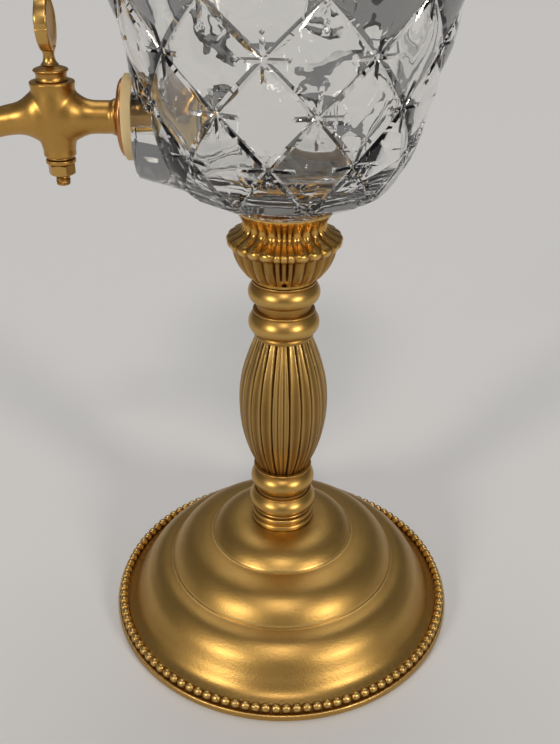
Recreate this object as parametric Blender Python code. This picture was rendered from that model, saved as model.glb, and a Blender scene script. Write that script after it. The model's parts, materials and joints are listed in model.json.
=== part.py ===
"""Iced-water fountain for a table: beaded base, fluted stem, cut-glass bowl, side tap and lid.

Metres, +Z up. The origin is the centre of the felt's underside, on the table.
The tap points along -X. The side that faces -Y is the front.
"""
import math

import bmesh
import bpy
from mathutils import Matrix, Vector

# Shared clearances
FIT_GAP = 0.0003            # running and seating gap between neighbouring pieces
CUT_OVERRUN = 0.0020        # how far every cutter runs past the face it opens
MERGE_DISTANCE = 0.000002   # points closer than this are one point

# Base
FELT_INSET = 0.0070         # felt's edge inside the shell's lip
FELT_THICKNESS = 0.0016
BASE_RADIUS = 0.0760        # lip of the shell
SHELL_FOOT = 0.0005         # shell's bottom edge above the table
SHELL_HEIGHT = 0.0448       # from that edge to the flat crown
SHELL_WALL = 0.0018
LIP_WIDTH = 0.0008
LIP_HEIGHT = 0.0029
CHANNEL_DEPTH = 0.0005      # bead channel below the lip
CHANNEL_FLOOR_WALL = 0.0012
BEAD_RADIUS = 0.0018
BEAD_COUNT = 112
BEAD_RISE = 0.0040          # top of a bead above the channel ring's seat
BEAD_VALLEY = 0.0017        # the same between two beads
BEAD_PINCH_SHARE = 0.45     # how far the ring draws in between two beads
WEIGHT_HEIGHT = 0.0105
WEIGHT_SIDE_GAP = 0.0012
HUB_RADIUS = 0.0110
HUB_FILLET = 0.0040
RECESS_RADIUS = 0.0120      # for the lower nut and its washer
RECESS_DEPTH = 0.0085

# Tiers of the shell, crown to channel: (share of the channel's inner radius, share of the height)
TIER_SHARES = (
    (0.204, 1.000), (0.310, 0.960), (0.385, 0.893), (0.432, 0.836), (0.435, 0.821), (0.500, 0.803),
    (0.580, 0.757), (0.645, 0.664), (0.690, 0.549), (0.694, 0.531), (0.775, 0.492), (0.840, 0.402),
    (0.905, 0.235), (0.955, 0.125), (0.996, 0.087))

# Rod and its nuts
ROD_RADIUS = 0.0040
NUT_FLATS = 0.0130
NUT_HEIGHT = 0.0050
WASHER_RADIUS = 0.0085
WASHER_THICKNESS = 0.0012
ROD_TIP = 0.0014            # rod past each nut

# Stem, bottom to top
FOOT_RADIUS = 0.0139
FOOT_HEIGHT = 0.0069
LOWER_COLLAR_RADIUS = 0.0143
LOWER_COLLAR_HEIGHT = 0.0091
NECK_RING_RADIUS = 0.0136
NECK_RING_HEIGHT = 0.0111
BALUSTER_RADIUS = 0.0184
BALUSTER_HEIGHT = 0.0613
UPPER_COLLAR_RADIUS = 0.0141
UPPER_COLLAR_HEIGHT = 0.0146
CUP_COLLAR_RADIUS = 0.0141
CUP_COLLAR_HEIGHT = 0.0090

# Outlines, top to bottom: (share of the radius, share of the height)
FOOT_SHARES = (
    (0.878, 1.000), (0.928, 0.971), (0.938, 0.880), (0.863, 0.780), (0.863, 0.725), (0.935, 0.667),
    (0.957, 0.290), (1.000, 0.100), (1.000, 0.000))
LOWER_COLLAR_SHARES = (
    (0.811, 1.000), (0.811, 0.857), (0.874, 0.824), (0.860, 0.740), (0.944, 0.571), (0.993, 0.374),
    (1.000, 0.220), (0.972, 0.088), (0.909, 0.000))
NECK_RING_SHARES = (
    (0.890, 1.000), (0.907, 0.960), (0.835, 0.870), (0.845, 0.785), (0.915, 0.690), (0.982, 0.530),
    (1.000, 0.380), (0.965, 0.190), (0.868, 0.025), (0.853, 0.000))
BALUSTER_SHARES = (
    (0.610, 1.000), (0.765, 0.880), (0.920, 0.725), (0.993, 0.560), (0.985, 0.410), (0.880, 0.220),
    (0.735, 0.090), (0.590, 0.000))
UPPER_COLLAR_SHARES = (
    (0.766, 1.000), (0.766, 0.795), (0.865, 0.767), (0.853, 0.700), (0.936, 0.589), (0.993, 0.452),
    (1.000, 0.363), (0.960, 0.235), (0.865, 0.145), (0.809, 0.120), (0.844, 0.075), (0.837, 0.000))
CUP_COLLAR_SHARES = (
    (0.872, 1.000), (0.894, 0.967), (0.868, 0.844), (0.943, 0.700), (0.993, 0.511), (1.000, 0.367),
    (0.960, 0.165), (0.823, 0.000))

# Ribs: three narrow ones on the casting's front and back seams, wide ones of two units between
BALUSTER_SIDE_RIBS = 10     # wide ribs on each side
RIB_DEPTH = 0.0009
RIB_GROOVE_SHARE = 0.30     # part of a unit that a groove's flank takes
BALUSTER_SEAM_TURN = math.radians(-3.3)
CUP_SIDE_FLUTES = 11
FLUTE_DEPTH = 0.0010
CUP_SEAM_TURN = math.radians(-0.6)
SEAM_RIBS = 3

# Cup under the bowl
CUP_RADIUS = 0.0220         # scalloped ridge
CUP_HEIGHT = 0.0286
CUP_WALL = 0.0019
CUP_FLOOR = 0.0018
CUP_SHARES = (
    (0.918, 1.000), (0.810, 0.880), (0.745, 0.770), (0.790, 0.685), (1.000, 0.570), (0.982, 0.535),
    (0.900, 0.345), (0.618, 0.066), (0.555, 0.035), (0.555, 0.000))
CUP_DEPTH_SHARES = (
    (1.000, 0.6), (0.745, 0.7), (0.570, 1.0), (0.402, 1.0), (0.066, 0.3), (0.035, 0.0), (0.000, 0.0))
CUP_INSIDE_SHARES = (
    (0.832, 1.000), (0.655, 0.770), (0.870, 0.550), (0.790, 0.340), (0.600, 0.150))
VENT_RADIUS = 0.0009
VENT_HEIGHT = 0.0031        # centre of the small vent above the cup's foot

# Glass bowl
BOWL_RIM_RADIUS = 0.0680
BOWL_HEIGHT = 0.1297        # from its underside to the rim
BOWL_WALL = 0.0060
BOWL_FLOOR = 0.0117
STUB_RADIUS = 0.0136        # plain stub that is cemented in the cup
CEMENT_HEIGHT = 0.0070
CEMENT_FLOOR = 0.0014
BOWL_STEPS = 40
# Outline, bottom to top: (share of the rim's radius, share of the height)
BOWL_SHARES = (
    (0.287, 0.000), (0.420, 0.023), (0.544, 0.054), (0.620, 0.085), (0.670, 0.124), (0.712, 0.202),
    (0.753, 0.291), (0.794, 0.391), (0.815, 0.437), (0.857, 0.536), (0.912, 0.668), (0.963, 0.823),
    (1.000, 1.000))
PETAL_COUNT = 20
PETAL_DEPTH = 0.0014
PETAL_BAND_SHARES = (0.010, 0.150)      # height band of the petal cuts
LATTICE_COLUMNS = 10
LATTICE_ROW = 0.0170        # height between two rows of crossings
LATTICE_NODE_HEIGHT = 0.0597    # a row of crossings above the bowl's underside
LATTICE_TURN = math.radians(-9.0)
LATTICE_DEPTH = 0.0013
LATTICE_BOTTOM_SHARE = 0.16
LATTICE_TOP_SHARE = 0.90
# Inside, floor to rim: (share of the outer radius at that height, share of the height above the floor)
CAVITY_SHARES = ((0.52, 0.004), (0.78, 0.045), (0.86, 0.115))
CAVITY_STEPS = 30

# Tap mounting
TAP_HEIGHT = 0.0312         # tap's bore above the bowl's underside
BOSS_PROUD = 0.0021         # flat of the boss outside the bowl's wall at the bore's height
BOSS_RADIUS = 0.0210
BOSS_RELIEF = 0.0006
BOSS_DEPTH = 0.0217         # boss from its flat into the wall
SEAT_DEPTH = 0.0132         # glass between the boss's flat and the inner flat
SEAT_RADIUS = 0.0115
SEAT_CLEARANCE = 0.0008     # room ground free round the inner gasket
GASKET_RADIUS = 0.0147
GASKET_THICKNESS = 0.0035
FLANGE_RADIUS = 0.0133
FLANGE_THICKNESS = 0.0021
FLANGE_EDGE_SHARE = 0.75    # flange's outer face narrows to this share
INNER_GASKET_RADIUS = 0.0100
INNER_GASKET_THICKNESS = 0.0020
INNER_WASHER_RADIUS = 0.0092
LOCKNUT_FLATS = 0.0150
LOCKNUT_HEIGHT = 0.0042
TAIL_RADIUS = 0.0048        # threaded tail of the tap
TAIL_TIP = 0.0016           # tail past the locknut

# Tap
TAP_REACH = 0.0222          # barrel's axis from the shank's shoulder
SHANK_RADIUS = 0.0057
SHANK_COLLAR_RADIUS = 0.0064
SHANK_COLLAR_LENGTH = 0.0018
BARREL_RADIUS = 0.0075
BARREL_TOP = 0.0124         # barrel above the bore
BARREL_BOTTOM = 0.0135      # barrel below the bore
# Barrel, top to bottom: (share of its radius, share of its length)
BARREL_SHARES = (
    (0.960, 1.000), (1.000, 0.975), (0.985, 0.930), (0.935, 0.890), (0.925, 0.700),
    (0.870, 0.420), (0.780, 0.180), (0.755, 0.050), (0.775, 0.030), (0.775, 0.000))
BORE_RADIUS = 0.0021
SPOUT_ROOT_RADIUS = 0.0066
SPOUT_RADIUS = 0.0048
SPOUT_TIP_RADIUS = 0.0043
SPOUT_REACH = 0.0400        # spout's tip from the barrel's axis
SPOUT_DROP = 0.0260
# Spout's centre line: (share of the reach, share of the drop)
SPOUT_SHARES = (
    (0.000, 0.000), (0.150, 0.000), (0.300, 0.022), (0.470, 0.065), (0.620, 0.140),
    (0.760, 0.270), (0.880, 0.460), (0.965, 0.720), (1.000, 1.000))
PLUG_TOP_RADIUS = 0.0050
PLUG_BOTTOM_RADIUS = 0.0036
CAP_RADIUS = 0.0061         # ring of the plug on the barrel's top
CAP_HEIGHT = 0.0046
CAP_SHARES = (
    (0.370, 1.000), (0.540, 0.920), (0.920, 0.760), (0.990, 0.660), (0.930, 0.540), (0.915, 0.440),
    (0.925, 0.000))
PIN_RADIUS = 0.0011         # pin of the plug inside the handle's neck
PIN_LENGTH = 0.0038
SPRING_WASHER_RADIUS = 0.0046
SPRING_WASHER_THICKNESS = 0.0006
PLUG_WASHER_RADIUS = 0.0053
PLUG_WASHER_THICKNESS = 0.0014
PLUG_NUT_FLATS = 0.0085
PLUG_NUT_HEIGHT = 0.0039
STUD_RADIUS = 0.0026
STUD_TIP = 0.0038
NECK_RADIUS = 0.0022
NECK_HEIGHT = 0.0044
HANDLE_HEIGHT = 0.0290
HANDLE_WIDTH = 0.0150
HANDLE_THICKNESS = 0.0038
HANDLE_BEVEL = 0.0006
# Half outline of the handle's plate: (share of half the width, share of the height)
HANDLE_SHARES = (
    (0.270, 0.000), (0.460, 0.035), (0.740, 0.105), (0.880, 0.190), (0.950, 0.252), (0.870, 0.280),
    (0.950, 0.308), (0.900, 0.386), (0.750, 0.455), (0.520, 0.530), (0.440, 0.590), (0.610, 0.655),
    (0.860, 0.745), (0.930, 0.834), (0.760, 0.920), (0.450, 0.978), (0.180, 1.000))

# Lid
LID_OVERHANG = 0.0018
LID_DOME_HEIGHT = 0.0240
LID_WALL = 0.0016
LID_SKIRT = 0.0060          # skirt that drops inside the rim
LID_SKIRT_GAP = 0.0008
SEAL_THICKNESS = 0.0015
SEAL_INSET = 0.0008
LID_STEPS = 30
# Top of the lid, crown to edge: (share of its radius, share of its height)
LID_SHARES = (
    (0.150, 1.000), (0.360, 0.935), (0.580, 0.755), (0.740, 0.530), (0.805, 0.360), (0.880, 0.290),
    (0.960, 0.220), (1.000, 0.090), (1.000, 0.000))
LID_COLLAR_RADIUS = 0.0088
LID_COLLAR_HEIGHT = 0.0046
LID_COLLAR_SHARES = (
    (0.620, 1.000), (0.640, 0.880), (0.840, 0.760), (1.000, 0.500), (0.960, 0.240), (1.000, 0.000))
FINIAL_RADIUS = 0.0086
FINIAL_HEIGHT = 0.0235
FINIAL_SHARES = (
    (0.000, 1.000), (0.120, 0.985), (0.170, 0.940), (0.130, 0.890), (0.420, 0.850), (0.760, 0.740),
    (0.970, 0.580), (1.000, 0.460), (0.900, 0.320), (0.620, 0.200), (0.400, 0.150), (0.520, 0.100),
    (0.560, 0.040), (0.540, 0.000))
LID_STUD_RADIUS = 0.0020
LID_STUD_GRIP = 0.0080      # length of the stud inside the finial
LID_NUT_FLATS = 0.0070
LID_NUT_HEIGHT = 0.0032
LID_STUD_TIP = 0.0010

# Facets round each piece
COLLAR_STEPS = 18
SHELL_STEPS = 40
DISC_STEPS = 32
NUT_STEPS = 12
TAP_STEPS = 16
SMALL_STEPS = 12
BORE_STEPS = 10
HANDLE_BEVEL_SEGMENTS = 1
SMOOTH_ANGLE = math.radians(32.0)
CUT_CREASE = math.radians(4.0)      # cut glass keeps every facet
FULL_TURN = 2.0 * math.pi


# Materials
def material(name, colour, metallic, roughness, transmission=0.0, ior=1.45):
    """Make one Principled material."""
    made = bpy.data.materials.new(name)
    made.use_nodes = True
    shader = made.node_tree.nodes["Principled BSDF"]
    shader.inputs["Base Color"].default_value = (*colour, 1.0)
    shader.inputs["Metallic"].default_value = metallic
    shader.inputs["Roughness"].default_value = roughness
    shader.inputs["Transmission Weight"].default_value = transmission
    shader.inputs["IOR"].default_value = ior
    made.diffuse_color = (*colour, 1.0)
    return made


def gold(name, tint=1.0):
    """Gold paint, a little redder where the tint is lower."""
    return material(name, (0.60, 0.36 * tint, 0.09 * tint), 0.9, 0.34)


def steel(name):
    """Plated steel of the hidden fasteners."""
    return material(name, (0.62, 0.62, 0.60), 1.0, 0.32)


# Outlines
def outline(shares, radius, height, bottom=0.0):
    """Turn a table of shares into (radius, height) points."""
    return [(r * radius, bottom + h * height) for r, h in shares]


def radius_at(points, height):
    """Radius of an outline at a height, read along straight runs between its points."""
    ordered = sorted(points, key=lambda point: point[1])
    if height <= ordered[0][1]:
        return ordered[0][0]
    for (r0, h0), (r1, h1) in zip(ordered, ordered[1:]):
        if h0 <= height <= h1 and h1 > h0:
            return r0 + (r1 - r0) * (height - h0) / (h1 - h0)
    return ordered[-1][0]


def offset_inward(points, wall):
    """Move an outer outline (crown to edge) towards the axis and down by a wall, square to itself."""
    moved = []
    for index, (r, h) in enumerate(points):
        before = points[max(index - 1, 0)]
        after = points[min(index + 1, len(points) - 1)]
        run = Vector((after[0] - before[0], after[1] - before[1])).normalized()
        moved.append((r + run.y * wall, h - run.x * wall))
    return moved


# Building solids
def finish(bm, name, look, location, rotation=(0.0, 0.0, 0.0), crease=None):
    """Turn a bmesh into an object whose faces point out; edges past the crease angle stay sharp."""
    bmesh.ops.remove_doubles(bm, verts=bm.verts, dist=MERGE_DISTANCE)
    bmesh.ops.recalc_face_normals(bm, faces=bm.faces)
    mesh = bpy.data.meshes.new(name)
    bm.to_mesh(mesh)
    bm.free()
    mesh.materials.append(look)
    mesh.shade_smooth()
    mesh.set_sharp_from_angle(angle=SMOOTH_ANGLE if crease is None else crease)
    made = bpy.data.objects.new(name, mesh)
    made.location = location
    made.rotation_euler = rotation
    bpy.context.scene.collection.objects.link(made)
    return made


def spin_outline(points, steps, closed):
    """Spin an outline about Z into a bmesh; a closed outline leaves a hole along the axis."""
    bm = bmesh.new()
    verts = [bm.verts.new((r, 0.0, h)) for r, h in points]
    edges = [bm.edges.new(pair) for pair in zip(verts, verts[1:])]
    if closed:
        edges.append(bm.edges.new((verts[-1], verts[0])))
    bmesh.ops.spin(bm, geom=verts + edges, cent=(0.0, 0.0, 0.0), axis=(0.0, 0.0, 1.0),
                   dvec=(0.0, 0.0, 0.0), angle=FULL_TURN, steps=steps, use_duplicate=False)
    bmesh.ops.remove_doubles(bm, verts=bm.verts, dist=MERGE_DISTANCE)
    return bm


def carve_mesh(bm, carve, steps, angles=None):
    """Move each point of a spun mesh: carve(step, angle, radius, height) gives radius and height."""
    for vert in bm.verts:
        radius = math.hypot(vert.co.x, vert.co.y)
        if radius < MERGE_DISTANCE:
            continue
        step = round((math.atan2(vert.co.y, vert.co.x) % FULL_TURN) / FULL_TURN * steps) % steps
        angle = angles[step] if angles else FULL_TURN * step / steps
        radius, height = carve(step, angle, radius, vert.co.z)
        # angles run from the front (-Y) towards +X
        vert.co = (radius * math.sin(angle), -radius * math.cos(angle), height)


def turned(name, points, look, steps, bore=0.0, location=(0.0, 0.0, 0.0), rotation=(0.0, 0.0, 0.0),
           carve=None, angles=None, half_step=False):
    """A turned piece: outer points top to bottom, closed along a bore or on the axis."""
    ring = list(points)
    if bore > 0.0:
        ring += [(bore, ring[-1][1]), (bore, ring[0][1])]
    else:
        if ring[0][0] > 0.0:
            ring.insert(0, (0.0, ring[0][1]))
        if ring[-1][0] > 0.0:
            ring.append((0.0, ring[-1][1]))
    bm = spin_outline(ring, steps, closed=bore > 0.0)
    if carve:
        carve_mesh(bm, carve, steps, angles)
    if half_step:
        bmesh.ops.rotate(bm, verts=bm.verts, cent=(0.0, 0.0, 0.0),
                         matrix=Matrix.Rotation(FULL_TURN / steps / 2.0, 3, "Z"))
    return finish(bm, name, look, location, rotation)


def disc(name, radius, thickness, look, steps, bore=0.0, location=(0.0, 0.0, 0.0),
         rotation=(0.0, 0.0, 0.0), half_step=False):
    """A plain disc, washer or cylinder that stands on its location."""
    return turned(name, [(radius, thickness), (radius, 0.0)], look, steps, bore, location, rotation,
                  half_step=half_step)


def hexagon(flats, bore):
    """Carve rule that turns the outside of a spun ring into a hexagon."""
    def carve(_step, angle, radius, height):
        if radius < (bore + flats / 2.0) / 2.0:
            return radius, height
        sixth = FULL_TURN / 6.0
        local = (angle % sixth) - sixth / 2.0
        return flats / 2.0 / math.cos(local), height
    return carve


def nut(name, flats, height, bore, look, location, rotation=(0.0, 0.0, 0.0)):
    """A hexagon nut that stands on its location."""
    return turned(name, [(flats / 2.0, height), (flats / 2.0, 0.0)], look, NUT_STEPS, bore, location,
                  rotation, carve=hexagon(flats, bore))


def swept(name, centres, radii, look, steps):
    """A round tube along points in the XZ plane, with flat ends."""
    bm = bmesh.new()
    rings = []
    for index, centre in enumerate(centres):
        before = Vector(centres[max(index - 1, 0)])
        after = Vector(centres[min(index + 1, len(centres) - 1)])
        along = (after - before).normalized()
        side = Vector((0.0, 1.0, 0.0))
        up = along.cross(side)
        ring = []
        for step in range(steps):
            angle = FULL_TURN * (step + 0.5) / steps
            offset = (side * math.cos(angle) + up * math.sin(angle)) * radii[index]
            ring.append(bm.verts.new(Vector(centre) + offset))
        rings.append([bm.edges.new((ring[i], ring[(i + 1) % steps])) for i in range(steps)])
        if index in (0, len(centres) - 1):
            bm.faces.new(ring)
    for lower, upper in zip(rings, rings[1:]):
        bmesh.ops.bridge_loops(bm, edges=lower + upper)
    return finish(bm, name, look, (0.0, 0.0, 0.0))


def as_cutter(*pieces):
    """Hide pieces that only shape others."""
    for piece in pieces:
        piece.hide_render = True
        piece.display_type = "WIRE"


def combine(target, other, operation):
    """Join or cut with another solid, kept as a modifier."""
    as_cutter(other)
    step = target.modifiers.new(operation.lower() + "_" + other.name, "BOOLEAN")
    step.operation = operation
    step.object = other
    step.solver = "EXACT"


def centred_empty(name, location):
    """An empty on a joint's axis."""
    made = bpy.data.objects.new(name, None)
    made.location = location
    bpy.context.scene.collection.objects.link(made)
    return made


def carry(parent, *pieces):
    """Parent pieces to an empty and keep them where they are."""
    for piece in pieces:
        piece.parent = parent
        piece.location = Vector(piece.location) - Vector(parent.location)


# Ribs of the castings
def rib_edges(side_ribs, turn):
    """Angles of the grooves: narrow ribs on the two seams, wide ribs of two units between them."""
    units = 2 * (SEAM_RIBS + 2 * side_ribs)
    marks = []
    at = 0
    for _half in range(2):
        for _rib in range(SEAM_RIBS):
            marks.append(at)
            at += 1
        for _rib in range(side_ribs):
            marks.append(at)
            at += 2
    unit = FULL_TURN / units
    start = turn - unit * SEAM_RIBS / 2.0
    return [start + mark * unit for mark in marks], unit


def flat_ribs(side_ribs, turn):
    """Three lines for each rib: its groove and the two edges of its flat top."""
    grooves, unit = rib_edges(side_ribs, turn)
    flank = unit * RIB_GROOVE_SHARE
    angles = []
    for groove, after in zip(grooves, grooves[1:] + [grooves[0] + FULL_TURN]):
        angles += [groove, groove + flank, after - flank]
    return angles


def round_flutes(side_ribs, turn):
    """Two lines for each flute: its groove and its crest."""
    grooves, _unit = rib_edges(side_ribs, turn)
    angles = []
    for groove, after in zip(grooves, grooves[1:] + [grooves[0] + FULL_TURN]):
        angles += [groove, (groove + after) / 2.0]
    return angles


# The base
def build_base():
    """Felt, ballast, stepped shell and bead ring; gives the height of the shell's crown."""
    felt_look = material("felt", (0.025, 0.045, 0.03), 0.0, 0.95)
    disc("felt_pad", BASE_RADIUS - FELT_INSET, FELT_THICKNESS, felt_look, DISC_STEPS)

    # shell: tiers, bead channel, lip, then the inside back up to the crown
    crown = SHELL_FOOT + SHELL_HEIGHT
    hole = ROD_RADIUS + FIT_GAP
    channel_outer = BASE_RADIUS - LIP_WIDTH
    channel_inner = channel_outer - 2.0 * BEAD_RADIUS
    channel_floor = SHELL_FOOT + LIP_HEIGHT - CHANNEL_DEPTH
    tiers = outline(TIER_SHARES, channel_inner, SHELL_HEIGHT, SHELL_FOOT)
    inside = offset_inward(tiers, SHELL_WALL)
    inside = [inside[0]] + inside[1:-1:2] + [inside[-1]]
    inside[0] = (inside[0][0], crown - SHELL_WALL)
    under_channel = channel_floor - CHANNEL_FLOOR_WALL
    lip_inner = BASE_RADIUS - SHELL_WALL
    outer = tiers + [(channel_inner, channel_floor), (channel_outer, channel_floor),
                     (channel_outer, SHELL_FOOT + LIP_HEIGHT), (BASE_RADIUS, SHELL_FOOT + LIP_HEIGHT),
                     (BASE_RADIUS, SHELL_FOOT), (lip_inner, SHELL_FOOT), (lip_inner, under_channel),
                     (inside[-1][0], under_channel)]
    ring = outer + inside[::-1] + [(hole, crown - SHELL_WALL), (hole, crown)]
    bm = spin_outline(ring, SHELL_STEPS, closed=True)
    finish(bm, "base_shell", gold("gold_paint_base"), (0.0, 0.0, 0.0))

    # ballast: disc that clears the shell's inside, hub up to the crown, recess for the nut
    weight_bottom = FELT_THICKNESS + FIT_GAP
    weight_top = weight_bottom + WEIGHT_HEIGHT
    weight_radius = radius_at(inside, weight_top) - WEIGHT_SIDE_GAP
    hub_top = crown - SHELL_WALL - FIT_GAP
    recess_top = weight_bottom + RECESS_DEPTH
    weight = [(HUB_RADIUS, hub_top), (HUB_RADIUS, weight_top + HUB_FILLET),
              (HUB_RADIUS + HUB_FILLET, weight_top), (weight_radius, weight_top),
              (weight_radius, weight_bottom), (RECESS_RADIUS, weight_bottom),
              (RECESS_RADIUS, recess_top), (hole, recess_top), (hole, hub_top)]
    bm = spin_outline(weight, DISC_STEPS, closed=True)
    finish(bm, "base_weight", material("cast_iron", (0.08, 0.08, 0.085), 0.7, 0.6), (0.0, 0.0, 0.0))

    # bead ring: drawn in and lower between the beads
    ring_bottom = channel_floor + FIT_GAP
    ring_middle = (channel_outer + channel_inner) / 2.0
    half = BEAD_RADIUS - FIT_GAP

    def beads(step, _angle, radius, height):
        if step % 2:
            if height > ring_bottom + MERGE_DISTANCE:
                height = ring_bottom + BEAD_VALLEY
            radius = ring_middle + (radius - ring_middle) * (1.0 - BEAD_PINCH_SHARE)
        return radius, height

    section = [(ring_middle, ring_bottom + BEAD_RISE), (ring_middle + half, ring_bottom),
               (ring_middle - half, ring_bottom)]
    bm = spin_outline(section, 2 * BEAD_COUNT, closed=True)
    carve_mesh(bm, beads, 2 * BEAD_COUNT)
    finish(bm, "beaded_rim", gold("gold_paint_beads"), (0.0, 0.0, 0.0))

    # lower washer and nut in the recess
    washer_bottom = recess_top - FIT_GAP - WASHER_THICKNESS
    disc("base_washer", WASHER_RADIUS, WASHER_THICKNESS, steel("steel_base_washer"), COLLAR_STEPS, hole,
         (0.0, 0.0, washer_bottom))
    nut_bottom = washer_bottom - FIT_GAP - NUT_HEIGHT
    nut("base_nut", NUT_FLATS, NUT_HEIGHT, hole, steel("steel_base_nut"), (0.0, 0.0, nut_bottom))
    return crown, nut_bottom


# The stem
def build_stem(crown):
    """Turned collars and the ribbed baluster, one on top of the other; gives the top."""
    hole = ROD_RADIUS + FIT_GAP
    at = crown + FIT_GAP
    lower = (("stem_foot", FOOT_SHARES, FOOT_RADIUS, FOOT_HEIGHT),
             ("lower_collar", LOWER_COLLAR_SHARES, LOWER_COLLAR_RADIUS, LOWER_COLLAR_HEIGHT),
             ("neck_ring", NECK_RING_SHARES, NECK_RING_RADIUS, NECK_RING_HEIGHT))
    upper = (("upper_collar", UPPER_COLLAR_SHARES, UPPER_COLLAR_RADIUS, UPPER_COLLAR_HEIGHT),
             ("cup_collar", CUP_COLLAR_SHARES, CUP_COLLAR_RADIUS, CUP_COLLAR_HEIGHT))
    for name, shares, radius, height in lower:
        turned(name, outline(shares, radius, height), gold("gold_paint_" + name), COLLAR_STEPS, hole,
               (0.0, 0.0, at))
        at += height + FIT_GAP

    angles = flat_ribs(BALUSTER_SIDE_RIBS, BALUSTER_SEAM_TURN)

    def ribs(step, _angle, radius, height):
        if step % 3 == 0 and radius > hole + FIT_GAP:
            radius -= RIB_DEPTH
        return radius, height

    turned("fluted_baluster", outline(BALUSTER_SHARES, BALUSTER_RADIUS, BALUSTER_HEIGHT),
           gold("gold_paint_baluster"), len(angles), hole, (0.0, 0.0, at), carve=ribs, angles=angles)
    at += BALUSTER_HEIGHT + FIT_GAP
    for name, shares, radius, height in upper:
        turned(name, outline(shares, radius, height), gold("gold_paint_" + name), COLLAR_STEPS, hole,
               (0.0, 0.0, at))
        at += height + FIT_GAP
    return at


# Cup, upper nut and rod
def build_cup(cup_bottom, rod_bottom):
    """Fluted cup with its vent, the washer and nut on its floor, and the rod; gives the rod's end."""
    hole = ROD_RADIUS + FIT_GAP
    angles = round_flutes(CUP_SIDE_FLUTES, CUP_SEAM_TURN)
    outer = outline(CUP_SHARES, CUP_RADIUS, CUP_HEIGHT)
    inside = outline(CUP_INSIDE_SHARES, CUP_RADIUS, CUP_HEIGHT)
    floor_radius = radius_at(outer, CUP_FLOOR) - CUP_WALL

    def flutes(step, _angle, radius, height):
        if step % 2 == 0 and radius > radius_at(inside, height) + FIT_GAP:
            depth = radius_at([(d, h) for h, d in CUP_DEPTH_SHARES], height / CUP_HEIGHT)
            radius -= depth * FLUTE_DEPTH
        return radius, height

    ring = outer + [(hole, 0.0), (hole, CUP_FLOOR), (floor_radius, CUP_FLOOR)] + inside[::-1]
    bm = spin_outline(ring, len(angles), closed=True)
    carve_mesh(bm, flutes, len(angles), angles)
    cup = finish(bm, "fluted_cup", gold("gold_paint_cup", 1.05), (0.0, 0.0, cup_bottom))
    vent = disc("vent_cut", VENT_RADIUS, CUP_RADIUS, gold("vent_cut"), BORE_STEPS, 0.0,
                (0.0, -hole, cup_bottom + VENT_HEIGHT), (math.radians(90.0), 0.0, 0.0))
    combine(cup, vent, "DIFFERENCE")

    washer_bottom = cup_bottom + CUP_FLOOR + FIT_GAP
    disc("cup_washer", WASHER_RADIUS, WASHER_THICKNESS, steel("steel_cup_washer"), COLLAR_STEPS, hole,
         (0.0, 0.0, washer_bottom))
    nut_bottom = washer_bottom + WASHER_THICKNESS + FIT_GAP
    nut("cup_nut", NUT_FLATS, NUT_HEIGHT, hole, steel("steel_cup_nut"), (0.0, 0.0, nut_bottom))
    rod_top = nut_bottom + NUT_HEIGHT + ROD_TIP
    disc("tie_rod", ROD_RADIUS, rod_top - rod_bottom, steel("steel_tie_rod"), COLLAR_STEPS, 0.0,
         (0.0, 0.0, rod_bottom))
    cup_inside = outline(CUP_INSIDE_SHARES, CUP_RADIUS, CUP_HEIGHT, cup_bottom)
    return rod_top, cup_inside


# Bowl and its cement
def lattice_depth(angle, height):
    """Depth of the mitre cuts: one on each diagonal line, none between them."""
    column = (angle - LATTICE_TURN) / (FULL_TURN / LATTICE_COLUMNS) * 2.0
    row = (height - LATTICE_NODE_HEIGHT) / LATTICE_ROW
    reach = 0.5
    best = 1.0
    for diagonal in (column + row, column - row):
        away = abs((diagonal + 1.0) % 2.0 - 1.0)
        best = min(best, away / reach)
    return LATTICE_DEPTH * max(0.0, 1.0 - best)


def fold_along_cuts(bm, low, high):
    """Split each square of the lattice between the two opposite corners that lie deeper."""
    def sunk(vert):
        angle = math.atan2(vert.co.x, -vert.co.y)
        return lattice_depth(angle, vert.co.z)

    for face in list(bm.faces):
        if len(face.verts) != 4 or min(v.co.z for v in face.verts) < low:
            continue
        if max(v.co.z for v in face.verts) > high:
            continue
        a, b, c, d = face.verts
        pair = (a, c) if sunk(a) + sunk(c) > sunk(b) + sunk(d) else (b, d)
        bmesh.utils.face_split(face, *pair)


def bowl_radius(height):
    """Outer radius of the plain bowl at a height above its underside."""
    return radius_at(outline(BOWL_SHARES, BOWL_RIM_RADIUS, BOWL_HEIGHT), height)


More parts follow.
